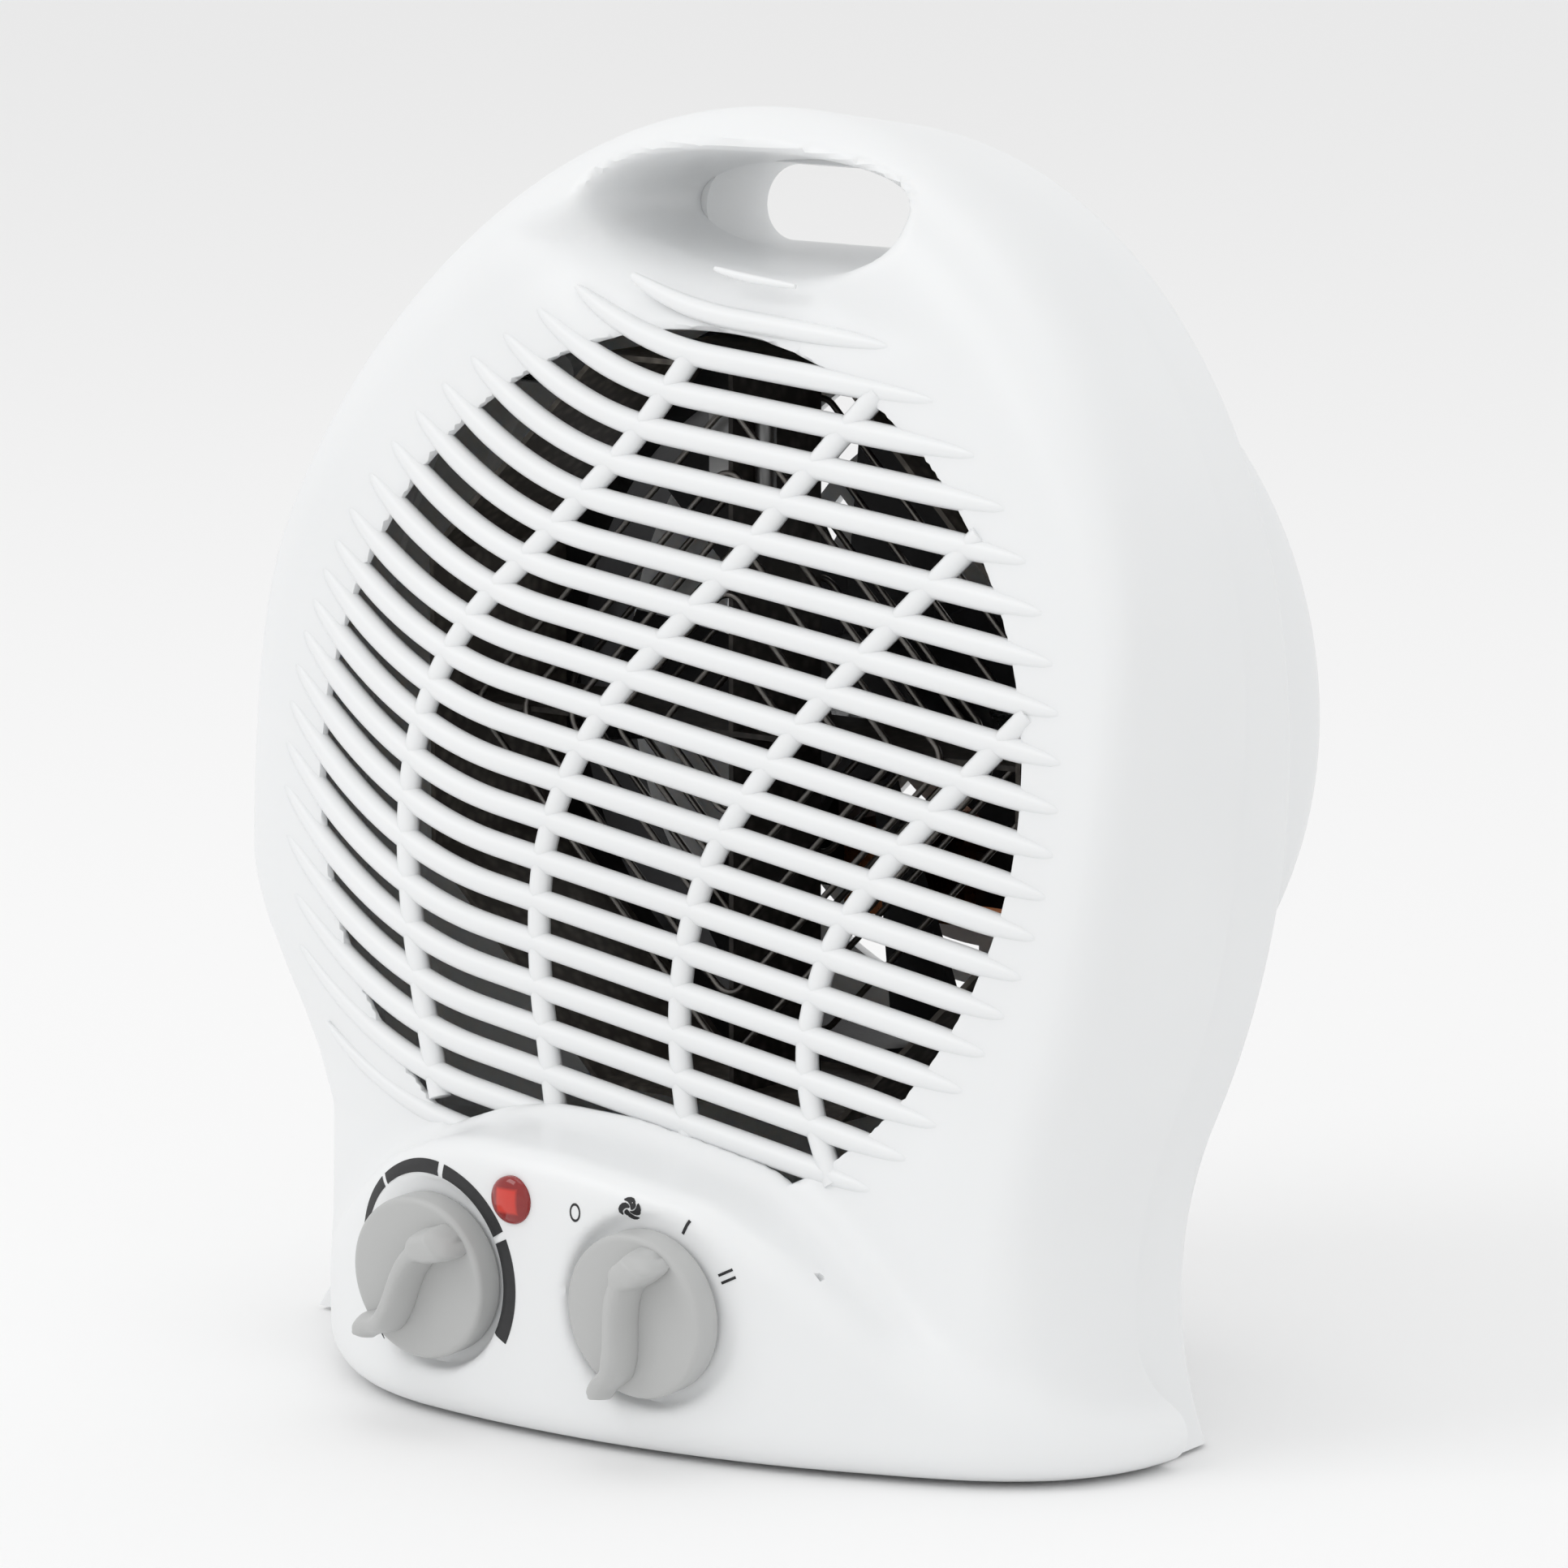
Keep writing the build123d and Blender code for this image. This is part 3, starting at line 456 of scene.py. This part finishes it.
def slat_tree():
    tree, given, out = field_tree(
        "slats",
        (
            ("Count", "NodeSocketInt"),
            ("Pitch", "NodeSocketFloat"),
            ("Middle", "NodeSocketFloat"),
            ("Half width", "NodeSocketFloat"),
            ("Depth ratio", "NodeSocketFloat"),
            ("Level", "NodeSocketFloat"),
            ("Tip radius", "NodeSocketFloat"),
            ("Taper", "NodeSocketFloat"),
            ("Material", "NodeSocketMaterial"),
        ),
    )
    new, link = tree.nodes.new, tree.links.new
    line = new("GeometryNodeCurvePrimitiveLine")
    line.inputs["Start"].default_value = (-0.1, 0, 0)
    line.inputs["End"].default_value = (0.1, 0, 0)
    dense = new("GeometryNodeResampleCurve")
    dense.inputs["Count"].default_value = 110
    link(line.outputs[0], dense.inputs["Curve"])
    rows = new("GeometryNodeMeshLine")
    link(given.outputs["Count"], rows.inputs["Count"])
    half_count = sum_of(tree, "MULTIPLY", sum_of(tree, "SUBTRACT", given.outputs["Count"], 1), 0.5)
    half_span = sum_of(tree, "MULTIPLY", given.outputs["Pitch"], half_count)
    first = sum_of(tree, "SUBTRACT", given.outputs["Middle"], half_span)
    start, rise_by = new("ShaderNodeCombineXYZ"), new("ShaderNodeCombineXYZ")
    link(first, start.inputs["Y"])
    link(given.outputs["Pitch"], rise_by.inputs["Y"])
    link(start.outputs[0], rows.inputs["Start Location"])
    link(rise_by.outputs[0], rows.inputs["Offset"])
    copies = new("GeometryNodeInstanceOnPoints")
    link(rows.outputs[0], copies.inputs["Points"])
    link(dense.outputs[0], copies.inputs["Instance"])
    loose = new("GeometryNodeRealizeInstances")
    link(copies.outputs[0], loose.inputs[0])
    spot = new("GeometryNodeInputPosition")
    split = new("ShaderNodeSeparateXYZ")
    link(spot.outputs[0], split.inputs[0])
    across, up = split.outputs["X"], split.outputs["Y"]
    over_middle = sum_of(tree, "SUBTRACT", up, given.outputs["Middle"])
    high = sum_of(tree, "MAXIMUM", sum_of(tree, "SUBTRACT", over_middle, 0.012), 0)
    shift = sum_of(tree, "MULTIPLY", high, 0.62)
    slope = sum_of(tree, "ADD", sum_of(tree, "MULTIPLY", high, 1.1), -0.15)
    past_left = sum_of(tree, "SUBTRACT", sum_of(tree, "SUBTRACT", across, shift), -0.035)
    curl = sum_of(tree, "MAXIMUM", sum_of(tree, "MULTIPLY", past_left, -1000), 0)
    curl = sum_of(tree, "MULTIPLY", sum_of(tree, "POWER", curl, 2.2), 0.0000034)
    drop = sum_of(tree, "ADD", sum_of(tree, "MULTIPLY", across, slope), curl)
    lift = new("ShaderNodeCombineXYZ")
    link(drop, lift.inputs["Y"])
    link(given.outputs["Level"], lift.inputs["Z"])
    bent = new("GeometryNodeSetPosition")
    link(loose.outputs[0], bent.inputs["Geometry"])
    link(lift.outputs[0], bent.inputs["Offset"])
    spot2 = new("GeometryNodeInputPosition")
    split2 = new("ShaderNodeSeparateXYZ")
    link(spot2.outputs[0], split2.inputs[0])
    u2 = sum_of(tree, "POWER", split2.outputs["X"], 2)
    v2 = sum_of(tree, "POWER", sum_of(tree, "SUBTRACT", split2.outputs["Y"], given.outputs["Middle"]), 2)
    far = sum_of(tree, "SQRT", sum_of(tree, "ADD", u2, v2))
    side = sum_of(tree, "ABSOLUTE", split2.outputs["X"])
    arch_drop = sum_of(tree, "MULTIPLY", sum_of(tree, "POWER", side, 2), 5.2)
    arch_low = sum_of(tree, "MAXIMUM", sum_of(tree, "SUBTRACT", 0.046, arch_drop), -1)
    above = sum_of(tree, "SUBTRACT", split2.outputs["Y"], arch_low)
    left_in = sum_of(tree, "DIVIDE", sum_of(tree, "SUBTRACT", given.outputs["Tip radius"], far), given.outputs["Taper"])
    share = sum_of(tree, "MINIMUM", sum_of(tree, "MAXIMUM", left_in, 0), 1)
    doubled = sum_of(tree, "MULTIPLY", share, 2)
    swell = sum_of(tree, "SQRT", sum_of(tree, "SUBTRACT", doubled, sum_of(tree, "POWER", share, 2)))
    keep = new("GeometryNodeDeleteGeometry")
    keep.domain = "POINT"
    gone = sum_of(tree, "MAXIMUM", sum_of(tree, "LESS_THAN", share, 0.004), sum_of(tree, "LESS_THAN", above, 0))
    link(gone, keep.inputs["Selection"])
    link(bent.outputs[0], keep.inputs["Geometry"])
    thick = new("GeometryNodeSetCurveRadius")
    link(keep.outputs[0], thick.inputs["Curve"])
    radius = sum_of(tree, "MULTIPLY", swell, given.outputs["Half width"])
    grow = new("GeometryNodeCurvePrimitiveCircle")
    grow.inputs["Resolution"].default_value = 14
    grow.inputs["Radius"].default_value = 1.0
    oval = new("GeometryNodeTransform")
    link(grow.outputs["Curve"], oval.inputs["Geometry"])
    proportion = new("ShaderNodeCombineXYZ")
    proportion.inputs["X"].default_value = 1
    proportion.inputs["Z"].default_value = 1
    link(given.outputs["Depth ratio"], proportion.inputs["Y"])
    link(proportion.outputs[0], oval.inputs["Scale"])
    link(radius, thick.inputs["Radius"])
    upright = new("GeometryNodeSetCurveNormal")
    upright.mode = "Z_UP"
    link(thick.outputs[0], upright.inputs["Curve"])
    tube = new("GeometryNodeCurveToMesh")
    link(upright.outputs[0], tube.inputs["Curve"])
    link(oval.outputs[0], tube.inputs["Profile Curve"])
    tube.inputs["Fill Caps"].default_value = True
    held = new("GeometryNodeInputRadius")
    link(held.outputs[0], tube.inputs["Scale"])
    real = new("GeometryNodeRealizeInstances")
    link(tube.outputs[0], real.inputs[0])
    soft = new("GeometryNodeSetShadeSmooth")
    link(real.outputs[0], soft.inputs["Geometry"])
    paint = new("GeometryNodeSetMaterial")
    link(soft.outputs[0], paint.inputs["Geometry"])
    link(given.outputs["Material"], paint.inputs["Material"])
    link(paint.outputs[0], out.inputs[0])
    return tree


slats = grown(
    "grille_slats",
    slat_tree(),
    {
        "Count": 27,
        "Pitch": 0.00745,
        "Middle": 0.1115,
        "Half width": 0.00232,
        "Depth ratio": 1.0,
        "Level": 0.0353,
        "Tip radius": 0.0905,
        "Taper": 0.018,
        "Material": white_plastic,
    },
    place=seam_to_row,
)
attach(slats, "case")

bar_lines = (
    (
        (-2, 75), (-12, 60), (-23.5, 48), (-35, 36), (-46.6, 25), (-54, 13),
        (-58, -0.5), (-58, -16), (-55, -31), (-52, -41), (-47, -56), (-44, -64),
    ),
    (
        (40, 71), (25, 54.5), (13, 39), (0, 26), (-11.5, 14), (-20, 1),
        (-25, -13), (-25.6, -26), (-23, -42), (-20.5, -50), (-16, -66),
    ),
    ((65, 48), (45.5, 28), (33, 15), (22, 1), (13, -13), (9, -28), (8.6, -41), (11, -55), (16, -70)),
    ((79, 18), (61, -0.6), (50, -13), (41, -26), (38, -39), (38, -48), (42, -60), (47, -68)),
)
for number, places in enumerate(bar_lines):
    rod = bpy.data.curves.new(f"grille_bar_{number + 1}", "CURVE")
    rod.dimensions = "3D"
    rod.bevel_depth = 0.0021
    rod.bevel_resolution = 4
    rod.resolution_u = 8
    rod.use_fill_caps = True
    line = rod.splines.new("NURBS")
    line.points.add(len(places) - 1)
    for point, (u, v) in zip(line.points, places):
        point.co = (u / 1000, (111.5 + v) / 1000, 0.0353, 1)
    line.order_u = 3
    line.use_endpoint_u = True
    holder = bpy.data.objects.new(rod.name + "_line", rod)
    bpy.context.scene.collection.objects.link(holder)
    mesh = bpy.data.meshes.new_from_object(holder.evaluated_get(bpy.context.evaluated_depsgraph_get()))
    bpy.data.objects.remove(holder)
    mesh.transform(seam_to_row)
    mesh.materials.clear()
    mesh.materials.append(white_plastic)
    mesh.polygons.foreach_set("use_smooth", [True] * len(mesh.polygons))
    bar = bpy.data.objects.new(rod.name, mesh)
    bpy.context.scene.collection.objects.link(bar)
    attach(bar, "case")


# Rear shell. The same white plastic: a shallow band behind the seam, the round fan housing with its ring of inlet
# slots, and the foot under it. Its shape is the design's own.
nodes["rear_shell"].data.materials.clear()
nodes["rear_shell"].data.materials.append(white_plastic)


# Control knobs. Light grey satin plastic: a shallow round skirt with a curled, raised grip that reaches past its edge.
grey_plastic = moulded_plastic("knob_plastic", (0.50, 0.505, 0.50), 0.42, grain=0.03, depth=0.35, glow=0.03)


def turned(profile, segments, seat, axis, side_x):
    """Points and faces of a profile of (radius, height) pairs turned about an axis."""
    side_y = axis.cross(side_x)
    points, faces = [], []
    for radius, height in profile:
        if radius == 0:
            points.append([tuple(seat + axis * height)])
            continue
        ring = []
        for i in range(segments):
            a = 2 * math.pi * i / segments
            ring.append(tuple(seat + axis * height + (side_x * math.cos(a) + side_y * math.sin(a)) * radius))
        points.append(ring)
    flat, starts = [], []
    for ring in points:
        starts.append(len(flat))
        flat.extend(ring)
    for a in range(len(points) - 1):
        one, two = points[a], points[a + 1]
        for i in range(segments):
            j = (i + 1) % segments
            p = [starts[a] + (i if len(one) > 1 else 0), starts[a] + (j if len(one) > 1 else 0)]
            q = [starts[a + 1] + (j if len(two) > 1 else 0), starts[a + 1] + (i if len(two) > 1 else 0)]
            face = list(dict.fromkeys(p + q))
            if len(face) > 2:
                faces.append(face)
    return flat, faces


def knob_piece(name, seat, turn_degrees, body, node):
    a = math.radians(turn_degrees)
    along = Vector((1, 0, 0)) * math.cos(a) + knob_up * math.sin(a)
    aside = knob_out.cross(along)
    skirt = [(0, -2.35), (12.4, -2.35), (12.5, -2.4), (14.2, -2.4), (14.75, -2.1), (14.85, -1.5)]
    skirt += [(14.85, 2.3), (14.7, 2.95), (14.3, 3.35), (13.7, 3.5), (6, 3.62), (0, 3.65)]
    points, faces = turned(skirt, 96, seat, knob_out, along)
    rows = 56
    ring = 20
    end_share = 0.035
    start = len(points)
    for i in range(rows):
        t = i / (rows - 1)
        s = -17.2 + 31.2 * t
        bend = 2.3 * math.sin(math.pi * (s + 1.5) / 15.5) * smooth(-17.5, -9, s) * (1 - 0.6 * smooth(8, 14, s))
        head = float(smooth(6.5, 9.5, s))
        tail = float(1 - smooth(-16.5, -9, s))
        wide = 3.0 + 0.9 * head - 0.2 * tail
        crown = 1.35 + 1.5 * head
        top = 10.2 + 0.6 * head - 3.6 * float(1 - smooth(-17.2, -6, s)) - 3.0 * float(smooth(12.6, 14.0, s))
        foot = 2.6
        end_gap = min(t, 1 - t)
        close = math.sqrt(max(0.0, 1 - ((end_share - end_gap) / end_share) ** 2)) if end_gap < end_share else 1.0
        wide, crown = wide * (0.35 + 0.65 * close), crown * (0.35 + 0.65 * close)
        for j in range(ring):
            c = 2 * math.pi * j / ring
            across = math.copysign(abs(math.cos(c)) ** 0.55, math.cos(c))
            upward = math.copysign(abs(math.sin(c)) ** 0.55, math.sin(c))
            lift = (upward + 1) / 2
            half = wide + (crown - wide) * lift
            rise_to = foot + (top - foot) * lift
            points.append(tuple(seat + along * s + aside * (bend + across * half) + knob_out * rise_to))
    for i in range(rows - 1):
        for j in range(ring):
            k = (j + 1) % ring
            here, ahead = start + i * ring, start + (i + 1) * ring
            faces.append((here + j, ahead + j, ahead + k, here + k))
    faces.append(tuple(start + j for j in range(ring)))
    faces.append(tuple(start + (rows - 1) * ring + j for j in reversed(range(ring))))
    piece = mesh_piece(name, [tuple(Vector(p) / 1000) for p in points], faces, grey_plastic, crease=55)
    shape = bmesh.new()
    shape.from_mesh(piece.data)
    bmesh.ops.remove_doubles(shape, verts=shape.verts, dist=1e-7)
    bmesh.ops.recalc_face_normals(shape, faces=shape.faces)
    shape.to_mesh(piece.data)
    shape.free()
    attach(piece, body)
    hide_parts(node)
    return piece


knob_piece("thermostat_dial", knob_seats["thermostat"], 41, "thermostat_control", "thermostat_knob")
knob_piece("selector_dial", knob_seats["selector"], 62, "selector_control", "selector_knob")


# Dial marks. Black pad print on the chin: a ring that thickens clockwise round the thermostat, and four plain signs
# for off, fan, low and high round the selector. Each mark is a film that follows the chin's surface.
ink = bpy.data.materials.new("black_print")
ink.use_nodes = True
ink_shader = ink.node_tree.nodes["Principled BSDF"]
ink_place = ink.node_tree.nodes.new("ShaderNodeTexCoord")
ink_noise = ink.node_tree.nodes.new("ShaderNodeTexNoise")
ink_noise.inputs["Scale"].default_value = 900
ink_tint = ink.node_tree.nodes.new("ShaderNodeValToRGB")
ink_tint.color_ramp.elements[0].color = (0.008, 0.008, 0.009, 1)
ink_tint.color_ramp.elements[1].color = (0.018, 0.018, 0.02, 1)
ink.node_tree.links.new(ink_place.outputs["Object"], ink_noise.inputs["Vector"])
ink.node_tree.links.new(ink_noise.outputs["Fac"], ink_tint.inputs["Fac"])
ink.node_tree.links.new(ink_tint.outputs["Color"], ink_shader.inputs["Base Color"])
ink_shader.inputs["Roughness"].default_value = 0.45


def on_chin(seat, x, y, proud):
    """A point of the chin's surface, from dial coordinates about a knob's seat."""
    x, y = np.asarray(x, float), np.asarray(y, float)
    h = np.full(x.shape, 1.0)
    for _ in range(12):
        px = seat.x + x
        py = seat.y + y * knob_up.y + h * knob_out.y
        pz = seat.z + y * knob_up.z + h * knob_out.z
        w = (-(py - seam_y) * math.cos(lean) + pz * math.sin(lean))
        v = (py - seam_y) * math.sin(lean) + pz * math.cos(lean)
        h = h - front_form(px, v, w)
    h = h + proud
    along_y = seat.y + y * knob_up.y + h * knob_out.y
    along_z = seat.z + y * knob_up.z + h * knob_out.z
    return np.stack([seat.x + x, along_y, along_z], axis=-1)


mark_points, mark_faces = [], []


def print_patch(seat, x, y):
    """Add one film patch from a grid of dial coordinates, with a top, a bottom and edges."""
    rows, columns = x.shape
    for proud in (0.07, -0.12):
        grid = on_chin(seat, x, y, proud).reshape(-1, 3)
        mark_points.extend(map(tuple, grid / 1000))
    base = len(mark_points) - 2 * rows * columns
    low = base + rows * columns
    for i in range(rows - 1):
        for j in range(columns - 1):
            a, b = i * columns + j, i * columns + j + 1
            c, d = a + columns + 1, a + columns
            mark_faces.append((base + a, base + b, base + c, base + d))
            mark_faces.append((low + a, low + d, low + c, low + b))
    edge = [j for j in range(columns)] + [i * columns + columns - 1 for i in range(1, rows)]
    edge += [(rows - 1) * columns + j for j in reversed(range(columns - 1))]
    edge += [i * columns for i in reversed(range(1, rows - 1))]
    for a, b in zip(edge, edge[1:] + edge[:1]):
        mark_faces.append((base + b, base + a, low + a, low + b))


thermostat_marks = (
    (228, 206, 0.15, 0.9),
    (203, 168, 0.9, 1.5),
    (165, 132, 1.5, 2.1),
    (129, 84, 2.1, 2.6),
    (80, 30, 2.6, 3.0),
    (26, -28, 3.0, 3.3),
)
for first, last, thin, thick in thermostat_marks:
    angle = np.radians(np.linspace(first, last, 26))[:, None]
    band = np.linspace(thin, thick, 26)[:, None]
    reach = 19.4 + (np.linspace(-0.5, 0.5, 5)[None, :]) * band
    print_patch(knob_seats["thermostat"], reach * np.cos(angle), reach * np.sin(angle))

seat = knob_seats["selector"]
round_about = np.linspace(0, 2 * math.pi, 33)[:, None]
zero = np.array([-14.9, 16.1])
for a, b in ((0, math.pi), (math.pi, 2 * math.pi)):
    t = np.linspace(a, b, 17)[:, None]
    wide = np.array([1.0, 1.35])[None, :]
    print_patch(seat, zero[0] + wide * 0.85 * np.cos(t), zero[1] + wide * 1.25 * np.sin(t))
hub = np.array([-3.6, 17.9])
for blade in range(4):
    t = np.linspace(0, 1, 8)[:, None]
    spin = blade * math.pi / 2 + 2.2 * t
    edge = np.array([-0.5, 0.5])[None, :] * (0.25 + 1.1 * np.sin(math.pi * t))
    reach = 0.45 + 1.55 * t + edge
    print_patch(seat, hub[0] + reach * np.cos(spin), hub[1] + reach * np.sin(spin))


def print_bar(x, y, degrees, length, width):
    a = math.radians(degrees)
    s = np.linspace(-length / 2, length / 2, 6)[:, None]
    q = np.array([-width / 2, width / 2])[None, :]
    print_patch(seat, x + s * math.cos(a) - q * math.sin(a), y + s * math.sin(a) + q * math.cos(a))


print_bar(7.6, 15.8, 58, 3.0, 0.55)
print_bar(15.5, 8.6, 26, 3.2, 0.5)
print_bar(16.1, 7.3, 26, 3.2, 0.5)
marks = mesh_piece("dial_marks", mark_points, mark_faces, ink, crease=30)
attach(marks, "case")


# Pilot lamp. A domed red polycarbonate lens pressed into the chin in front of the neon.
red_lens = bpy.data.materials.new("red_lens")
red_lens.use_nodes = True
lens_tree = red_lens.node_tree
lens_shader = lens_tree.nodes["Principled BSDF"]
lens_shader.inputs["Roughness"].default_value = 0.08
lens_shader.inputs["Coat Weight"].default_value = 0.6
lens_shader.inputs["Coat Roughness"].default_value = 0.04
lens_shader.inputs["Subsurface Weight"].default_value = 0.3
lens_shader.inputs["Subsurface Radius"].default_value = (0.004, 0.0004, 0.0004)
lens_shader.inputs["Subsurface Scale"].default_value = 0.5
lens_place = lens_tree.nodes.new("ShaderNodeTexCoord")
lens_centre = lens_tree.nodes.new("ShaderNodeMapping")
lens_centre.inputs["Location"].default_value = (4.5, 0, -43.5)
lens_centre.inputs["Scale"].default_value = (1000, 1000, 1000)
lens_split = lens_tree.nodes.new("ShaderNodeSeparateXYZ")
lens_tree.links.new(lens_place.outputs["Object"], lens_centre.inputs["Vector"])
lens_tree.links.new(lens_centre.outputs["Vector"], lens_split.inputs["Vector"])
square = sum_of(
    lens_tree,
    "MAXIMUM",
    sum_of(lens_tree, "ABSOLUTE", lens_split.outputs["X"]),
    sum_of(lens_tree, "ABSOLUTE", lens_split.outputs["Z"]),
)
lens_ramp = lens_tree.nodes.new("ShaderNodeValToRGB")
lens_ramp.color_ramp.elements[0].position = 0.38
lens_ramp.color_ramp.elements[0].color = (0.62, 0.028, 0.012, 1)
lens_ramp.color_ramp.elements[1].position = 0.5
lens_ramp.color_ramp.elements[1].color = (0.26, 0.002, 0.001, 1)
lens_tree.links.new(sum_of(lens_tree, "DIVIDE", square, 5.0), lens_ramp.inputs["Fac"])
lens_tree.links.new(lens_ramp.outputs["Color"], lens_shader.inputs["Base Color"])
lens_seat = Vector((-4.5, -62.4, 43.5))
dome = [(0, -5.9), (4.35, -5.9), (4.4, -5.5), (4.4, 0.9)]
dome += [(4.4 * math.cos(a), 0.9 + 1.7 * math.sin(a)) for a in np.linspace(0.15, math.pi / 2 - 0.08, 10)] + [(0, 2.6)]
lens_points, lens_faces = turned(dome, 48, lens_seat, knob_out, Vector((1, 0, 0)))
lens = mesh_piece("pilot_lens", [tuple(Vector(p) / 1000) for p in lens_points], lens_faces, red_lens, crease=60)
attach(lens, "case")
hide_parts("lamp_lens")


# Everything inside and underneath. The parts that come straight from the design keep their shape and are painted here:
# mica boards with flecks, nichrome wire, steel, aluminium and bronze with a fine turned grain, rubber and dark plastic.
def worked_metal(name, colour, roughness, scale=600, metallic=1.0, stretch=(1, 1, 12)):
    """Bare metal: a fine grain drawn out one way, with cloudy differences in polish."""
    material = bpy.data.materials.new(name)
    material.use_nodes = True
    tree = material.node_tree
    shader = tree.nodes["Principled BSDF"]
    shader.inputs["Metallic"].default_value = metallic
    place = tree.nodes.new("ShaderNodeTexCoord")
    drawn = tree.nodes.new("ShaderNodeMapping")
    drawn.inputs["Scale"].default_value = stretch
    tree.links.new(place.outputs["Object"], drawn.inputs["Vector"])
    grain = tree.nodes.new("ShaderNodeTexNoise")
    grain.inputs["Scale"].default_value = scale
    grain.inputs["Detail"].default_value = 4
    tree.links.new(drawn.outputs["Vector"], grain.inputs["Vector"])
    cloud = tree.nodes.new("ShaderNodeTexNoise")
    cloud.inputs["Scale"].default_value = 45
    tree.links.new(place.outputs["Object"], cloud.inputs["Vector"])
    tint = tree.nodes.new("ShaderNodeValToRGB")
    tint.color_ramp.elements[0].color = (*[c * 0.78 for c in colour], 1)
    tint.color_ramp.elements[1].color = (*colour, 1)
    tree.links.new(cloud.outputs["Fac"], tint.inputs["Fac"])
    tree.links.new(tint.outputs["Color"], shader.inputs["Base Color"])
    polish = tree.nodes.new("ShaderNodeMapRange")
    polish.inputs["To Min"].default_value = max(roughness - 0.1, 0.05)
    polish.inputs["To Max"].default_value = roughness + 0.1
    tree.links.new(grain.outputs["Fac"], polish.inputs["Value"])
    tree.links.new(polish.outputs["Result"], shader.inputs["Roughness"])
    bump = tree.nodes.new("ShaderNodeBump")
    bump.inputs["Strength"].default_value = 0.3
    bump.inputs["Distance"].default_value = 0.00002
    tree.links.new(grain.outputs["Fac"], bump.inputs["Height"])
    tree.links.new(bump.outputs["Normal"], shader.inputs["Normal"])
    return material


def flecked(name, dark, pale, roughness, scale):
    """Mica sheet: pale flakes in a darker binder."""
    material = bpy.data.materials.new(name)
    material.use_nodes = True
    tree = material.node_tree
    shader = tree.nodes["Principled BSDF"]
    shader.inputs["Roughness"].default_value = roughness
    place = tree.nodes.new("ShaderNodeTexCoord")
    flakes = tree.nodes.new("ShaderNodeTexVoronoi")
    flakes.inputs["Scale"].default_value = scale
    tree.links.new(place.outputs["Object"], flakes.inputs["Vector"])
    tint = tree.nodes.new("ShaderNodeValToRGB")
    tint.color_ramp.elements[0].color = (*pale, 1)
    tint.color_ramp.elements[1].color = (*dark, 1)
    tint.color_ramp.elements[1].position = 0.6
    tree.links.new(flakes.outputs["Distance"], tint.inputs["Fac"])
    tree.links.new(tint.outputs["Color"], shader.inputs["Base Color"])
    bump = tree.nodes.new("ShaderNodeBump")
    bump.inputs["Strength"].default_value = 0.25
    bump.inputs["Distance"].default_value = 0.00005
    tree.links.new(flakes.outputs["Distance"], bump.inputs["Height"])
    tree.links.new(bump.outputs["Normal"], shader.inputs["Normal"])
    return material


mica_wall = flecked("mica_wall", (0.10, 0.088, 0.075), (0.20, 0.18, 0.155), 0.55, 420)
mica_board = flecked("mica_board", (0.035, 0.031, 0.027), (0.085, 0.075, 0.065), 0.5, 420)
nichrome = worked_metal("nichrome", (0.36, 0.34, 0.32), 0.32, stretch=(1, 1, 1))
bright_steel = worked_metal("bright_steel", (0.56, 0.57, 0.58), 0.28)
dark_steel = worked_metal("dark_steel", (0.07, 0.07, 0.073), 0.45, stretch=(1, 12, 1))
zinc_steel = worked_metal("zinc_steel", (0.50, 0.50, 0.50), 0.38, stretch=(1, 12, 1))
cast_alloy = worked_metal("cast_alloy", (0.46, 0.46, 0.47), 0.5, scale=300, stretch=(1, 1, 1))
bearing_bronze = worked_metal("bearing_bronze", (0.48, 0.30, 0.14), 0.4, stretch=(1, 12, 1))
enamelled_copper = worked_metal("enamelled_copper", (0.45, 0.17, 0.07), 0.3, scale=900, stretch=(14, 1, 1))
black_plastic = moulded_plastic("black_plastic", (0.022, 0.022, 0.024), 0.5, grain=0.03)
rubber = moulded_plastic("black_rubber", (0.016, 0.016, 0.017), 0.75, grain=0.05, depth=0.5)
cream_plastic = moulded_plastic("terminal_plastic", (0.62, 0.58, 0.48), 0.45)
clear_glass = moulded_plastic("neon_glass", (0.75, 0.30, 0.16), 0.12, grain=0.005, depth=0.05, coat=0.5)
paints = {
    "mica_duct": mica_wall,
    "mica_board_upright": mica_board,
    "mica_board_level": mica_board,
    "heating_wire_front": nichrome,
    "heating_wire_back": nichrome,
    "case_screws": bright_steel,
    "control_screws": bright_steel,
    "motor_screws": bright_steel,
    "motor_shaft": bright_steel,
    "thermostat_spindle": bright_steel,
    "selector_spindle": bright_steel,
    "impeller_clip": bright_steel,
    "fan_shroud": dark_steel,
    "motor_stator": dark_steel,
    "motor_rotor": dark_steel,
    "thermal_cutout": zinc_steel,
    "thermal_fuse": zinc_steel,
    "front_bracket": cast_alloy,
    "rear_bracket": cast_alloy,
    "front_bush": bearing_bronze,
    "rear_bush": bearing_bronze,
    "motor_coil": enamelled_copper,
    "fan_impeller": black_plastic,
    "thermostat_body": black_plastic,
    "selector_switch": black_plastic,
    "rubber_pads": rubber,
    "cord_grommet": rubber,
    "terminal_block": cream_plastic,
    "neon_lamp": clear_glass,
}
for name, paint in paints.items():
    nodes[name].data.materials.clear()
    nodes[name].data.materials.append(paint)



size = [[list(cad_low), list(cad_high)], [list(c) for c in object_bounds()]]
